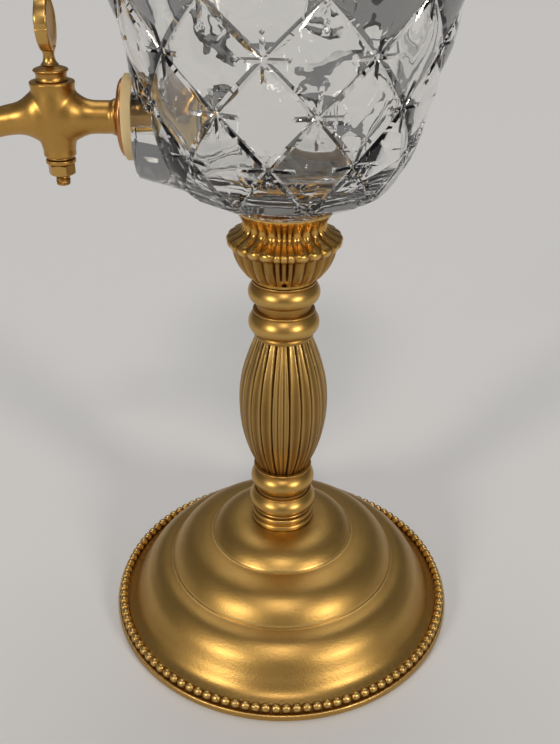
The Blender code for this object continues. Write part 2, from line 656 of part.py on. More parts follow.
def build_bowl(bowl_bottom, cup_inside, cement_bottom):
    """Cut-glass bowl with stub, boss and tap hole, and its cement; gives the tap's height and seats."""
    stub_length = bowl_bottom - (cement_bottom + CEMENT_FLOOR + FIT_GAP)
    glass = material("lead_crystal", (0.94, 0.96, 0.97), 0.0, 0.02, 1.0, 1.56)
    lattice_low = LATTICE_BOTTOM_SHARE * BOWL_HEIGHT
    lattice_high = LATTICE_TOP_SHARE * BOWL_HEIGHT

    # rows of the lattice fall on its crossings and half way between them
    half_row = LATTICE_ROW / 2.0
    first = math.ceil((lattice_low - LATTICE_NODE_HEIGHT) / half_row)
    last = math.floor((lattice_high - LATTICE_NODE_HEIGHT) / half_row)
    rows = [LATTICE_NODE_HEIGHT + k * half_row for k in range(first, last + 1)]
    foot = [point for point in outline(BOWL_SHARES, BOWL_RIM_RADIUS, BOWL_HEIGHT)
            if point[1] < rows[0] - half_row / 4.0]
    wall = [(bowl_radius(h), h) for h in rows]
    plain = [(bowl_radius(rows[-1] + half_row), rows[-1] + half_row), (BOWL_RIM_RADIUS, BOWL_HEIGHT)]
    points = ([(STUB_RADIUS, -stub_length), (STUB_RADIUS, 0.0)] + foot + wall + plain)[::-1]

    petal_low, petal_high = (share * BOWL_HEIGHT for share in PETAL_BAND_SHARES)

    def cuts(_step, angle, radius, height):
        if rows[0] - MERGE_DISTANCE < height < rows[-1] + MERGE_DISTANCE:
            radius -= lattice_depth(angle, height)
        elif petal_low < height < petal_high:
            radius -= PETAL_DEPTH * (0.5 + 0.5 * math.cos((angle - LATTICE_TURN) * PETAL_COUNT))
        return radius, height

    ring = [(0.0, points[0][1])] + points + [(0.0, points[-1][1])]
    bm = spin_outline(ring, BOWL_STEPS, closed=False)
    angles = [LATTICE_TURN + FULL_TURN * step / BOWL_STEPS for step in range(BOWL_STEPS)]
    carve_mesh(bm, cuts, BOWL_STEPS, angles)
    fold_along_cuts(bm, rows[0] - MERGE_DISTANCE, rows[-1] + MERGE_DISTANCE)
    bowl = finish(bm, "glass_bowl", glass, (0.0, 0.0, bowl_bottom), crease=CUT_CREASE)

    # boss with its flat face
    outward = (0.0, math.radians(-90.0), 0.0)
    inward = (0.0, math.radians(90.0), 0.0)
    tap_z = bowl_bottom + TAP_HEIGHT
    boss_face = bowl_radius(TAP_HEIGHT) + BOSS_PROUD
    seat_face = boss_face - SEAT_DEPTH
    boss = disc("boss_body", BOSS_RADIUS, BOSS_DEPTH + CUT_OVERRUN, glass, DISC_STEPS, 0.0,
                (BOSS_DEPTH - boss_face, 0.0, tap_z), outward, half_step=True)
    combine(bowl, boss, "UNION")
    flat = disc("boss_flat_cut", BOSS_RADIUS + BOSS_RELIEF, BOWL_RIM_RADIUS, glass, DISC_STEPS, 0.0,
                (-boss_face, 0.0, tap_z), outward, half_step=True)
    combine(bowl, flat, "DIFFERENCE")

    # inside of the bowl
    depth = BOWL_HEIGHT - BOWL_FLOOR
    low_inside = [(share * bowl_radius(BOWL_FLOOR + h * depth), BOWL_FLOOR + h * depth)
                  for share, h in CAVITY_SHARES]
    high_inside = [(r - BOWL_WALL, h) for r, h in outline(BOWL_SHARES, BOWL_RIM_RADIUS, BOWL_HEIGHT)
                   if low_inside[-1][1] + BOWL_WALL < h < BOWL_HEIGHT - CUT_OVERRUN]
    top = [(BOWL_RIM_RADIUS - BOWL_WALL, BOWL_HEIGHT + CUT_OVERRUN)]
    cavity_points = (low_inside + high_inside + top)[::-1]
    cavity = turned("cavity_cut", cavity_points, glass, CAVITY_STEPS, 0.0, (0.0, 0.0, bowl_bottom),
                    half_step=True)
    # an inner flat stays on the wall, opposite the boss, and the wall is ground free round it
    stack = INNER_GASKET_THICKNESS + WASHER_THICKNESS + LOCKNUT_HEIGHT + TAIL_TIP
    room = disc("seat_room_cut", INNER_GASKET_RADIUS + SEAT_CLEARANCE, CUT_OVERRUN + stack, glass,
                COLLAR_STEPS, 0.0, (-seat_face - CUT_OVERRUN, 0.0, tap_z), inward)
    combine(cavity, room, "UNION")
    seat = disc("seat_body", SEAT_RADIUS, SEAT_DEPTH, glass, COLLAR_STEPS, 0.0,
                (-seat_face, 0.0, tap_z), outward, half_step=True)
    combine(cavity, seat, "DIFFERENCE")
    combine(bowl, cavity, "DIFFERENCE")
    tail_hole = disc("tail_hole_cut", TAIL_RADIUS + FIT_GAP, SEAT_DEPTH + 2.0 * CUT_OVERRUN, glass,
                     SMALL_STEPS, 0.0, (CUT_OVERRUN - seat_face, 0.0, tap_z), outward, half_step=True)
    combine(bowl, tail_hole, "DIFFERENCE")

    # cement: fills the cup's belly round the stub
    cement_top = cement_bottom + CEMENT_HEIGHT
    socket_floor = cement_bottom + CEMENT_FLOOR
    socket = STUB_RADIUS + FIT_GAP
    heights = sorted({cement_bottom, cement_top}
                     | {h for _r, h in cup_inside if cement_bottom < h < cement_top})
    skin = [(radius_at(cup_inside, h) - FIT_GAP, h) for h in heights[::-1]]
    cement = [(0.0, socket_floor), (socket, socket_floor), (socket, cement_top)] + skin + [
        (0.0, cement_bottom)]
    bm = spin_outline(cement, COLLAR_STEPS, closed=False)
    finish(bm, "bowl_cement", material("white_cement", (0.78, 0.76, 0.70), 0.0, 0.8), (0.0, 0.0, 0.0))
    return tap_z, boss_face, seat_face


# Tap
def build_tap(tap_z, boss_face, seat_face):
    """Gaskets, flange, body, inner nut, and plug with handle on the joint's axis; gives the axis's X."""
    outward = (0.0, math.radians(-90.0), 0.0)
    inward = (0.0, math.radians(90.0), 0.0)
    hole = TAIL_RADIUS + FIT_GAP
    brass = gold("gold_paint_tap")

    # outside the bowl: gasket, then flange, then the shank's shoulder
    gasket_x = boss_face + FIT_GAP
    disc("outer_gasket", GASKET_RADIUS, GASKET_THICKNESS,
         material("ivory_rubber", (0.80, 0.70, 0.45), 0.0, 0.5), DISC_STEPS, hole,
         (-gasket_x, 0.0, tap_z), outward)
    flange_x = gasket_x + GASKET_THICKNESS + FIT_GAP
    flange = [(FLANGE_RADIUS * FLANGE_EDGE_SHARE, FLANGE_THICKNESS),
              (FLANGE_RADIUS, FLANGE_THICKNESS / 2.0), (FLANGE_RADIUS, 0.0)]
    turned("tap_flange", flange, gold("gold_paint_flange", 0.9), DISC_STEPS, hole,
           (-flange_x, 0.0, tap_z), outward)
    shoulder_x = flange_x + FLANGE_THICKNESS + FIT_GAP
    axis_x = -(shoulder_x + TAP_REACH)

    # inside the bowl: gasket, washer and nut on the tail
    inner_x = seat_face - FIT_GAP
    disc("inner_gasket", INNER_GASKET_RADIUS, INNER_GASKET_THICKNESS,
         material("inner_ivory_rubber", (0.80, 0.70, 0.45), 0.0, 0.5), COLLAR_STEPS, hole,
         (-inner_x, 0.0, tap_z), inward)
    washer_x = inner_x - INNER_GASKET_THICKNESS - FIT_GAP
    disc("inner_washer", INNER_WASHER_RADIUS, WASHER_THICKNESS, steel("steel_inner_washer"), COLLAR_STEPS,
         hole, (-washer_x, 0.0, tap_z), inward)
    locknut_x = washer_x - WASHER_THICKNESS - FIT_GAP
    nut("tap_locknut", LOCKNUT_FLATS, LOCKNUT_HEIGHT, hole, gold("brass_locknut"),
        (-locknut_x, 0.0, tap_z), inward)
    tail_end = locknut_x - LOCKNUT_HEIGHT - TAIL_TIP

    # body: barrel, shank with tail, spout; then the plug's seat and the bore
    barrel_bottom = tap_z - BARREL_BOTTOM
    barrel_length = BARREL_TOP + BARREL_BOTTOM
    body = turned("tap_body", outline(BARREL_SHARES, BARREL_RADIUS, barrel_length), brass, TAP_STEPS, 0.0,
                  (axis_x, 0.0, barrel_bottom))
    shank_length = TAP_REACH
    collar_start = shoulder_x + SHANK_COLLAR_LENGTH - tail_end
    shoulder = shoulder_x - tail_end
    shank = [(SHANK_RADIUS, shoulder + shank_length), (SHANK_RADIUS, collar_start),
             (SHANK_COLLAR_RADIUS, collar_start), (SHANK_COLLAR_RADIUS, shoulder),
             (TAIL_RADIUS, shoulder), (TAIL_RADIUS, 0.0)]
    combine(body, turned("shank_body", shank, brass, SMALL_STEPS, 0.0, (-tail_end, 0.0, tap_z), outward),
            "UNION")
    line = [(axis_x - x * SPOUT_REACH, 0.0, tap_z - z * SPOUT_DROP) for x, z in SPOUT_SHARES]
    sizes = [SPOUT_ROOT_RADIUS, SPOUT_ROOT_RADIUS]
    sizes += [SPOUT_RADIUS + (SPOUT_TIP_RADIUS - SPOUT_RADIUS) * k / (len(line) - 3)
              for k in range(len(line) - 2)]
    combine(body, swept("spout_body", line, sizes, brass, SMALL_STEPS), "UNION")
    seat_cut = [(PLUG_TOP_RADIUS + FIT_GAP, barrel_length), (PLUG_BOTTOM_RADIUS + FIT_GAP, 0.0)]
    grow = (seat_cut[0][0] - seat_cut[1][0]) / barrel_length * CUT_OVERRUN
    seat_cut = [(seat_cut[0][0] + grow, barrel_length + CUT_OVERRUN),
                (seat_cut[1][0] - grow, -CUT_OVERRUN)]
    combine(body, turned("plug_seat_cut", seat_cut, brass, TAP_STEPS, 0.0, (axis_x, 0.0, barrel_bottom)),
            "DIFFERENCE")
    tip = Vector(line[-1]) - Vector(line[-2])
    bore_line = [(-tail_end + CUT_OVERRUN, 0.0, tap_z)] + line[1:] + [
        tuple(Vector(line[-1]) + tip.normalized() * CUT_OVERRUN)]
    combine(body, swept("bore_cut", bore_line, [BORE_RADIUS] * len(bore_line), brass, BORE_STEPS),
            "DIFFERENCE")

    # plug: pin, cap ring, taper, stud; its port lies across the bore while the tap is closed
    cap_bottom = barrel_length + FIT_GAP
    cap_top = cap_bottom + CAP_HEIGHT
    plug_points = [(PIN_RADIUS, cap_top + PIN_LENGTH), (PIN_RADIUS, cap_top)]
    plug_points += outline(CAP_SHARES, CAP_RADIUS, CAP_HEIGHT, cap_bottom)
    stack = (SPRING_WASHER_THICKNESS + PLUG_WASHER_THICKNESS + PLUG_NUT_HEIGHT + 3.0 * FIT_GAP)
    plug_points += [(PLUG_TOP_RADIUS, cap_bottom), (PLUG_TOP_RADIUS, barrel_length),
                    (PLUG_BOTTOM_RADIUS, 0.0), (STUD_RADIUS, 0.0), (STUD_RADIUS, -stack - STUD_TIP)]
    plug = turned("tap_plug", plug_points, gold("gold_paint_plug"), TAP_STEPS, 0.0,
                  (axis_x, 0.0, barrel_bottom))
    port = disc("port_cut", BORE_RADIUS, 2.0 * CAP_RADIUS, brass, BORE_STEPS, 0.0,
                (axis_x, CAP_RADIUS, tap_z), (math.radians(90.0), 0.0, 0.0))
    combine(plug, port, "DIFFERENCE")

    stud_hole = STUD_RADIUS + FIT_GAP
    at = barrel_bottom - FIT_GAP - SPRING_WASHER_THICKNESS
    spring = disc("plug_spring_washer", SPRING_WASHER_RADIUS, SPRING_WASHER_THICKNESS,
                  gold("gold_paint_spring_washer"), SMALL_STEPS, stud_hole, (axis_x, 0.0, at))
    at -= FIT_GAP + PLUG_WASHER_THICKNESS
    washer = disc("plug_washer", PLUG_WASHER_RADIUS, PLUG_WASHER_THICKNESS,
                  gold("gold_paint_plug_washer"), SMALL_STEPS, stud_hole, (axis_x, 0.0, at))
    at -= FIT_GAP + PLUG_NUT_HEIGHT
    plug_nut = nut("plug_nut", PLUG_NUT_FLATS, PLUG_NUT_HEIGHT, stud_hole, gold("gold_paint_plug_nut"),
                   (axis_x, 0.0, at))

    # handle: plate across the flow on a round neck, with a blind hole for the pin
    neck_bottom = barrel_bottom + cap_top + FIT_GAP
    handle = build_handle((axis_x, 0.0, neck_bottom))
    axis = centred_empty("tap_axis", (axis_x, 0.0, tap_z))
    carry(axis, plug, handle, spring, washer, plug_nut)
    return axis_x


def build_handle(location):
    """Plate handle with its neck, standing on its location."""
    look = gold("gold_paint_handle")
    half = [(y * HANDLE_WIDTH / 2.0, NECK_HEIGHT + z * HANDLE_HEIGHT) for y, z in HANDLE_SHARES]
    edge = half + [(-y, z) for y, z in half[::-1]]
    bm = bmesh.new()
    verts = [bm.verts.new((-HANDLE_THICKNESS / 2.0, y, z)) for y, z in edge]
    face = bm.faces.new(verts)
    grown = bmesh.ops.extrude_face_region(bm, geom=[face])
    moved = [item for item in grown["geom"] if isinstance(item, bmesh.types.BMVert)]
    bmesh.ops.translate(bm, verts=moved, vec=(HANDLE_THICKNESS, 0.0, 0.0))
    handle = finish(bm, "tap_handle", look, location)
    soften = handle.modifiers.new("edge", "BEVEL")
    soften.width = HANDLE_BEVEL
    soften.segments = HANDLE_BEVEL_SEGMENTS
    soften.limit_method = "ANGLE"
    neck = disc("neck_body", NECK_RADIUS, NECK_HEIGHT + CUT_OVERRUN, look, SMALL_STEPS, 0.0, location)
    combine(handle, neck, "UNION")
    pin_hole = disc("pin_hole_cut", PIN_RADIUS + FIT_GAP, PIN_LENGTH + FIT_GAP + CUT_OVERRUN, look,
                    BORE_STEPS, 0.0, (location[0], location[1], location[2] - CUT_OVERRUN))
    combine(handle, pin_hole, "DIFFERENCE")
    return handle


# Lid
def build_lid(rim_z):
    """Lid with its seal, collar, finial, stud and nut."""
    bore = LID_STUD_RADIUS + FIT_GAP
    seal_outer = BOWL_RIM_RADIUS - SEAL_INSET
    seal_inner = BOWL_RIM_RADIUS - BOWL_WALL + SEAL_INSET
    seal_z = rim_z + FIT_GAP
    seal = disc("lid_seal", seal_outer, SEAL_THICKNESS,
                material("clear_silicone", (0.75, 0.75, 0.72), 0.0, 0.4), LID_STEPS, seal_inner,
                (0.0, 0.0, seal_z))

    lid_z = seal_z + SEAL_THICKNESS + FIT_GAP
    lid_radius = BOWL_RIM_RADIUS + LID_OVERHANG
    outer = outline(LID_SHARES, lid_radius, LID_DOME_HEIGHT)
    # the skirt clears the facets of the bowl's inside at its lowest edge
    narrowest = bowl_radius(BOWL_HEIGHT - LID_SKIRT) - BOWL_WALL
    skirt_outer = narrowest * math.cos(FULL_TURN / CAVITY_STEPS / 2.0) - LID_SKIRT_GAP
    skirt_inner = skirt_outer - LID_WALL
    skirt_bottom = -(SEAL_THICKNESS + 2.0 * FIT_GAP + LID_SKIRT)
    under = offset_inward(outer, LID_WALL)
    under = [(r, h) for r, h in under if r < skirt_inner - LID_WALL]
    under[0] = (under[0][0], LID_DOME_HEIGHT - LID_WALL)
    ring = outer + [(skirt_outer, 0.0), (skirt_outer, skirt_bottom), (skirt_inner, skirt_bottom)]
    ring += [(skirt_inner, under[-1][1] - LID_WALL)] + under[::-1]
    ring += [(bore, LID_DOME_HEIGHT - LID_WALL), (bore, LID_DOME_HEIGHT)]
    bm = spin_outline(ring, LID_STEPS, closed=True)
    lid = finish(bm, "lid_dome", gold("gold_paint_lid"), (0.0, 0.0, lid_z))

    collar_z = lid_z + LID_DOME_HEIGHT + FIT_GAP
    collar = turned("lid_collar", outline(LID_COLLAR_SHARES, LID_COLLAR_RADIUS, LID_COLLAR_HEIGHT),
                    gold("gold_paint_lid_collar"), COLLAR_STEPS, bore, (0.0, 0.0, collar_z))
    finial_z = collar_z + LID_COLLAR_HEIGHT + FIT_GAP
    points = outline(FINIAL_SHARES, FINIAL_RADIUS, FINIAL_HEIGHT)
    blind = LID_STUD_GRIP + FIT_GAP
    points += [(bore, 0.0), (bore, blind), (0.0, blind)]
    bm = spin_outline(points, SMALL_STEPS, closed=False)
    finial = finish(bm, "lid_finial", gold("gold_paint_finial"), (0.0, 0.0, finial_z))

    nut_z = lid_z + LID_DOME_HEIGHT - LID_WALL - FIT_GAP - LID_NUT_HEIGHT
    lid_nut = nut("lid_nut", LID_NUT_FLATS, LID_NUT_HEIGHT, bore, steel("steel_lid_nut"), (0.0, 0.0, nut_z))
    stud_z = nut_z - LID_STUD_TIP
    stud = disc("lid_stud", LID_STUD_RADIUS, finial_z + LID_STUD_GRIP - stud_z, steel("steel_lid_stud"),
                SMALL_STEPS, 0.0, (0.0, 0.0, stud_z))
    axis = centred_empty("lid_axis", (0.0, 0.0, lid_z))
    carry(axis, lid, seal, collar, finial, lid_nut, stud)


def main():
    """Clear the scene and build the whole fountain from the table up."""
    for old in list(bpy.data.objects):
        bpy.data.objects.remove(old, do_unlink=True)
    crown, nut_bottom = build_base()
    cup_bottom = build_stem(crown)
    rod_top, cup_inside = build_cup(cup_bottom, nut_bottom - ROD_TIP)
    bowl_bottom = cup_bottom + CUP_HEIGHT + FIT_GAP
    tap_z, boss_face, seat_face = build_bowl(bowl_bottom, cup_inside, rod_top + FIT_GAP)
    tap_x = build_tap(tap_z, boss_face, seat_face)
    build_lid(bowl_bottom + BOWL_HEIGHT)
    bpy.context.view_layer.update()
    print("crown %.4f cup %.4f bowl %.4f rim %.4f, tap's axis %.5f at %.4f"
          % (crown, cup_bottom, bowl_bottom, bowl_bottom + BOWL_HEIGHT, tap_x, tap_z))


main()
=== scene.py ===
"""Looks of the iced-water fountain: painted metal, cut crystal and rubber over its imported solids.

Metres, +Z up. The origin is under the felt, the tap points along -X and the front faces -Y.
Angles round the stem run from the front towards +X. Every new piece is a surface worked out on a
grid of two parameters, and takes its place from the solid that it stands for.
"""

import json
import logging
import math
from dataclasses import dataclass, field
from enum import Enum
from typing import Any, Callable, Optional, Sequence, Union

import bmesh
import bpy
import numpy as np
from mathutils import Matrix, Vector

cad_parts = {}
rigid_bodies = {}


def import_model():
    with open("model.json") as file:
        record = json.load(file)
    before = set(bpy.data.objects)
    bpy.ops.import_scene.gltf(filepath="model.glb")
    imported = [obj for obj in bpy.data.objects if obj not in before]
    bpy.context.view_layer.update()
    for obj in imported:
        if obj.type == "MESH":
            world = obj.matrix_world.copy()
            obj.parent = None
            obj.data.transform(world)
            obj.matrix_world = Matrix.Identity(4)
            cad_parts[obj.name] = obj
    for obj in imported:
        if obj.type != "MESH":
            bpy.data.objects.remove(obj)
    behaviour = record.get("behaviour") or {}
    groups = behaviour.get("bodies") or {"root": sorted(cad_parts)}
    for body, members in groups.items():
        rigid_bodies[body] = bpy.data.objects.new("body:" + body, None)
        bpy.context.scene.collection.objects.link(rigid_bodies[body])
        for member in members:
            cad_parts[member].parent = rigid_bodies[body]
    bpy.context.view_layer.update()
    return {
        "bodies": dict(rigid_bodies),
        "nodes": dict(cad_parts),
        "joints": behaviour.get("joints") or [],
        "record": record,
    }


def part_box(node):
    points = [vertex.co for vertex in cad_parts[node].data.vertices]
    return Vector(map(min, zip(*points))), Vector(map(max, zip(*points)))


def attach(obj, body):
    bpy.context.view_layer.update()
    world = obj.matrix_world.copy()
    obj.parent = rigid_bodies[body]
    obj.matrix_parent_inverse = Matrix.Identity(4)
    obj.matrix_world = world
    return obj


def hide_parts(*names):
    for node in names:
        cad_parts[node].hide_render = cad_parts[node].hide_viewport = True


LOG = logging.getLogger("fountain")
FULL_TURN = 2.0 * math.pi
MM = 0.001
MERGE_DISTANCE = 0.000001
FIT = 0.3 * MM      # room that the solids leave between two pieces

Colour = tuple[float, float, float]
Span = tuple[float, float]
Place = tuple[float, float, float]
Outline = Sequence[tuple[float, float]]
Grids = tuple[np.ndarray, ...]


# Shader maths
class Signal:
    """One output of a shader node, on which Python's operators add Math nodes."""

    def __init__(self, recipe: "Recipe", socket: bpy.types.NodeSocket) -> None:
        """Keep the recipe and the socket."""
        self.recipe = recipe
        self.socket = socket

    def _math(self, operation: str, first: "Term", second: "Term") -> "Signal":
        """Add one Math node.

        Args:
            operation: Name of the Math node's operation.
            first: Upper value or signal.
            second: Lower value or signal.

        Returns:
            The node's result.
        """
        return self.recipe.node("ShaderNodeMath", {"operation": operation}, {0: first, 1: second})

    def __add__(self, other: "Term") -> "Signal":
        """Sum."""
        return self._math("ADD", self, other)

    def __radd__(self, other: "Term") -> "Signal":
        """Sum, reflected."""
        return self._math("ADD", other, self)

    def __sub__(self, other: "Term") -> "Signal":
        """Difference."""
        return self._math("SUBTRACT", self, other)

    def __rsub__(self, other: "Term") -> "Signal":
        """Difference, reflected."""
        return self._math("SUBTRACT", other, self)

    def __mul__(self, other: "Term") -> "Signal":
        """Product."""
        return self._math("MULTIPLY", self, other)

    def __rmul__(self, other: "Term") -> "Signal":
        """Product, reflected."""
        return self._math("MULTIPLY", other, self)

    def span(self, low: float, high: float) -> "Signal":
        """Stretch low..high to 0..1 and clamp it."""
        return self.recipe.node("ShaderNodeMapRange", {"clamp": True},
                                {"Value": self, "From Min": low, "From Max": high})


Term = Union[float, Signal]


class Recipe:
    """Node tree of one material."""

    # numbers of the Mix node's colour sockets, because each name stands there for three kinds
    MIX_SHARE, MIX_FIRST, MIX_SECOND, MIX_RESULT = 0, 6, 7, 2

    def __init__(self, name: str) -> None:
        """Start an empty material.

        Args:
            name: The material's name.
        """
        self.material = bpy.data.materials.new(name)
        self.material.use_nodes = True
        self.tree = self.material.node_tree
        self.tree.nodes.clear()
        self.output = self.tree.nodes.new("ShaderNodeOutputMaterial")

    def node(self, kind: str, settings: Optional[dict[str, Any]] = None,
             inputs: Optional[dict[Any, Any]] = None, out: Union[int, str] = 0) -> Signal:
        """Add a node.

        Args:
            kind: Blender's type name of the node.
            settings: The node's own settings, set first.
            inputs: Socket names or numbers, each with a value or a signal.
            out: Output that is returned.

        Returns:
            The chosen output.
        """
        made = self.tree.nodes.new(kind)
        for key, value in (settings or {}).items():
            setattr(made, key, value)
        for key, value in (inputs or {}).items():
            self.feed(made.inputs[key], value)
        return Signal(self, made.outputs[out])

    def feed(self, socket: bpy.types.NodeSocket, value: Any) -> None:
        """Link a signal to a socket, or set the socket's own value."""
        if isinstance(value, Signal):
            self.tree.links.new(value.socket, socket)
        elif isinstance(value, tuple) and len(value) == 3 and socket.type == "RGBA":
            socket.default_value = (*value, 1.0)
        else:
            socket.default_value = value

    def place(self, size: float) -> Signal:
        """Object coordinates, counted in steps of a size in metres."""
        return self.node("ShaderNodeMapping", {"vector_type": "POINT"},
                         {"Vector": self.node("ShaderNodeTexCoord", out="Object"),
                          "Scale": (1.0 / size,) * 3})

    def noise(self, size: float, detail: float = 2.0, rough: float = 0.5) -> Signal:
        """Smooth noise.

        Args:
            size: Size of its patches, in metres.
            detail: Number of finer layers.
            rough: Weight of the finer layers.

        Returns:
            A value round 0.5.
        """
        return self.node("ShaderNodeTexNoise", {"noise_dimensions": "3D"},
                         {"Vector": self.place(size), "Scale": 1.0, "Detail": detail, "Roughness": rough})

    def cells(self, size: float) -> Signal:
        """Distance to scattered points, in units of their spacing."""
        return self.node("ShaderNodeTexVoronoi", {"feature": "F1"},
                         {"Vector": self.place(size), "Scale": 1.0}, "Distance")

    def field(self, name: str) -> Signal:
        """A number that the mesh carries at each point."""
        return self.node("ShaderNodeAttribute", {"attribute_name": name}, out="Fac")

    def blend(self, share: Term, first: Any, second: Any) -> Signal:
        """Mix two colours by a share from 0 to 1."""
        return self.node("ShaderNodeMix", {"data_type": "RGBA"},
                         {self.MIX_SHARE: share, self.MIX_FIRST: first, self.MIX_SECOND: second},
                         self.MIX_RESULT)

    def relief(self, height: Signal, depth: float, under: Optional[Signal] = None) -> Signal:
        """Bump.

        Args:
            height: Height signal, 0 to 1.
            depth: Real depth of that range, in metres.
            under: Normal of a relief that this one lies on.

        Returns:
            The new normal.
        """
        inputs: dict[str, Any] = {"Strength": 1.0, "Distance": depth, "Height": height}
        if under is not None:
            inputs["Normal"] = under
        return self.node("ShaderNodeBump", {}, inputs)

    def surface(self, sockets: dict[str, Any]) -> bpy.types.Material:
        """Finish the material with one Principled shader.

        Args:
            sockets: Principled socket names with values or signals.

        Returns:
            The finished material.
        """
        shader = self.node("ShaderNodeBsdfPrincipled", {}, sockets)
        self.tree.links.new(shader.socket, self.output.inputs["Surface"])
        return self.material


# Finishes
@dataclass(frozen=True)
class GoldPaint:
    """Sprayed metallic gold: flake, orange peel, painted shade in the grooves, painted highlights on the
    crests.
    """

    colour: Colour = (0.46, 0.265, 0.066)
    shade: Colour = (0.23, 0.100, 0.022)
    bright: Colour = (0.86, 0.62, 0.24)
    roughness: float = 0.34
    patch_size: float = 16.0 * MM
    patch_span: Span = (0.35, 0.70)
    patch_share: float = 0.30
    flake_size: float = 0.22 * MM
    flake_span: Span = (0.30, 0.72)
    flake_share: float = 0.20
    painted_shade_share: float = 0.85
    painted_highlight_share: float = 0.55
    grain_size: float = 0.45 * MM
    grain_depth: float = 0.006 * MM
    peel_size: float = 1.1 * MM
    peel_depth: float = 0.045 * MM
    speck_spacing: float = 4.5 * MM
    speck_span: Span = (0.02, 0.05)
    speck_depth: float = 0.035 * MM
    flake_roughness: float = 0.10
    groove_roughness: float = 0.14
    highlight_polish: float = 0.06

    def make(self, name: str) -> bpy.types.Material:
        """Make the material.

        It reads two fields of the mesh: painted shade, 0 on plain faces and 1 in grooves, and
        painted highlight, 1 on edges and tops that are painted bright.

        Args:
            name: The material's name.

        Returns:
            The material.
        """
        recipe = Recipe(name)
        groove = recipe.field("painted_shade")
        highlight_mask = recipe.field("painted_highlight")
        patch = recipe.noise(self.patch_size, 3.0).span(*self.patch_span)
        flake = recipe.noise(self.flake_size, 2.0, 0.6).span(*self.flake_span)
        tone = recipe.blend(patch * self.patch_share, self.colour, self.shade)
        tone = recipe.blend(flake * self.flake_share, tone, self.bright)
        # painted shade: grooves and hollows blend towards the dark colour
        tone = recipe.blend(groove * self.painted_shade_share, tone, self.shade)
        # painted highlight: edges and tops blend towards the bright colour
        tone = recipe.blend(highlight_mask * self.painted_highlight_share, tone, self.bright)
        peel = recipe.noise(self.peel_size, 2.5, 0.55)
        speck = 1.0 - recipe.cells(self.speck_spacing).span(*self.speck_span)
        normal = recipe.relief(recipe.noise(self.grain_size, 2.0), self.grain_depth)
        normal = recipe.relief(peel, self.peel_depth, normal)
        normal = recipe.relief(speck, self.speck_depth, normal)
        rough = (self.roughness + flake * self.flake_roughness + groove * self.groove_roughness
                 - highlight_mask * self.highlight_polish)
        return recipe.surface({"Base Color": tone, "Metallic": 1.0, "Roughness": rough, "Normal": normal})


@dataclass(frozen=True)
class CutCrystal:
    """Clear lead crystal with the faint waviness that polishing leaves."""

    colour: Colour = (0.985, 0.985, 0.975)
    ior: float = 1.55
    wave_size: float = 5.0 * MM
    wave_depth: float = 0.030 * MM

    def make(self, name: str) -> bpy.types.Material:
        """Make the material.

        Args:
            name: The material's name.

        Returns:
            The material.
        """
        recipe = Recipe(name)
        wave = recipe.relief(recipe.noise(self.wave_size, 1.0), self.wave_depth)
        return recipe.surface({"Base Color": self.colour, "Metallic": 0.0, "Roughness": 0.0,
                               "IOR": self.ior, "Transmission Weight": 1.0, "Normal": wave})


@dataclass(frozen=True)
class PlainFinish:
    """A finish of one colour with mottling and a fine grain."""

    colour: Colour
    dark: Colour
    metallic: float
    roughness: float
    grain_size: float
    grain_depth: float
    mottle_size: float = 6.0 * MM
    mottle_span: Span = (0.30, 0.75)
    mottle_share: float = 0.6
    grain_roughness: float = 0.25
    sheen: float = 0.0
    clear: float = 0.0

    def make(self, name: str) -> bpy.types.Material:
        """Make the material.

        Args:
            name: The material's name.

        Returns:
            The material.
        """
        recipe = Recipe(name)
        mottle = recipe.noise(self.mottle_size, 3.0).span(*self.mottle_span)
        grain = recipe.noise(self.grain_size, 3.0, 0.6)
        tone = recipe.blend(mottle * self.mottle_share, self.colour, self.dark)
        rough = self.roughness + (grain - 0.5) * self.grain_roughness
        normal = recipe.relief(grain, self.grain_depth)
        return recipe.surface({"Base Color": tone, "Metallic": self.metallic, "Roughness": rough,
                               "Sheen Weight": self.sheen, "Transmission Weight": self.clear,
                               "Normal": normal})


Finish = Union[GoldPaint, CutCrystal, PlainFinish]


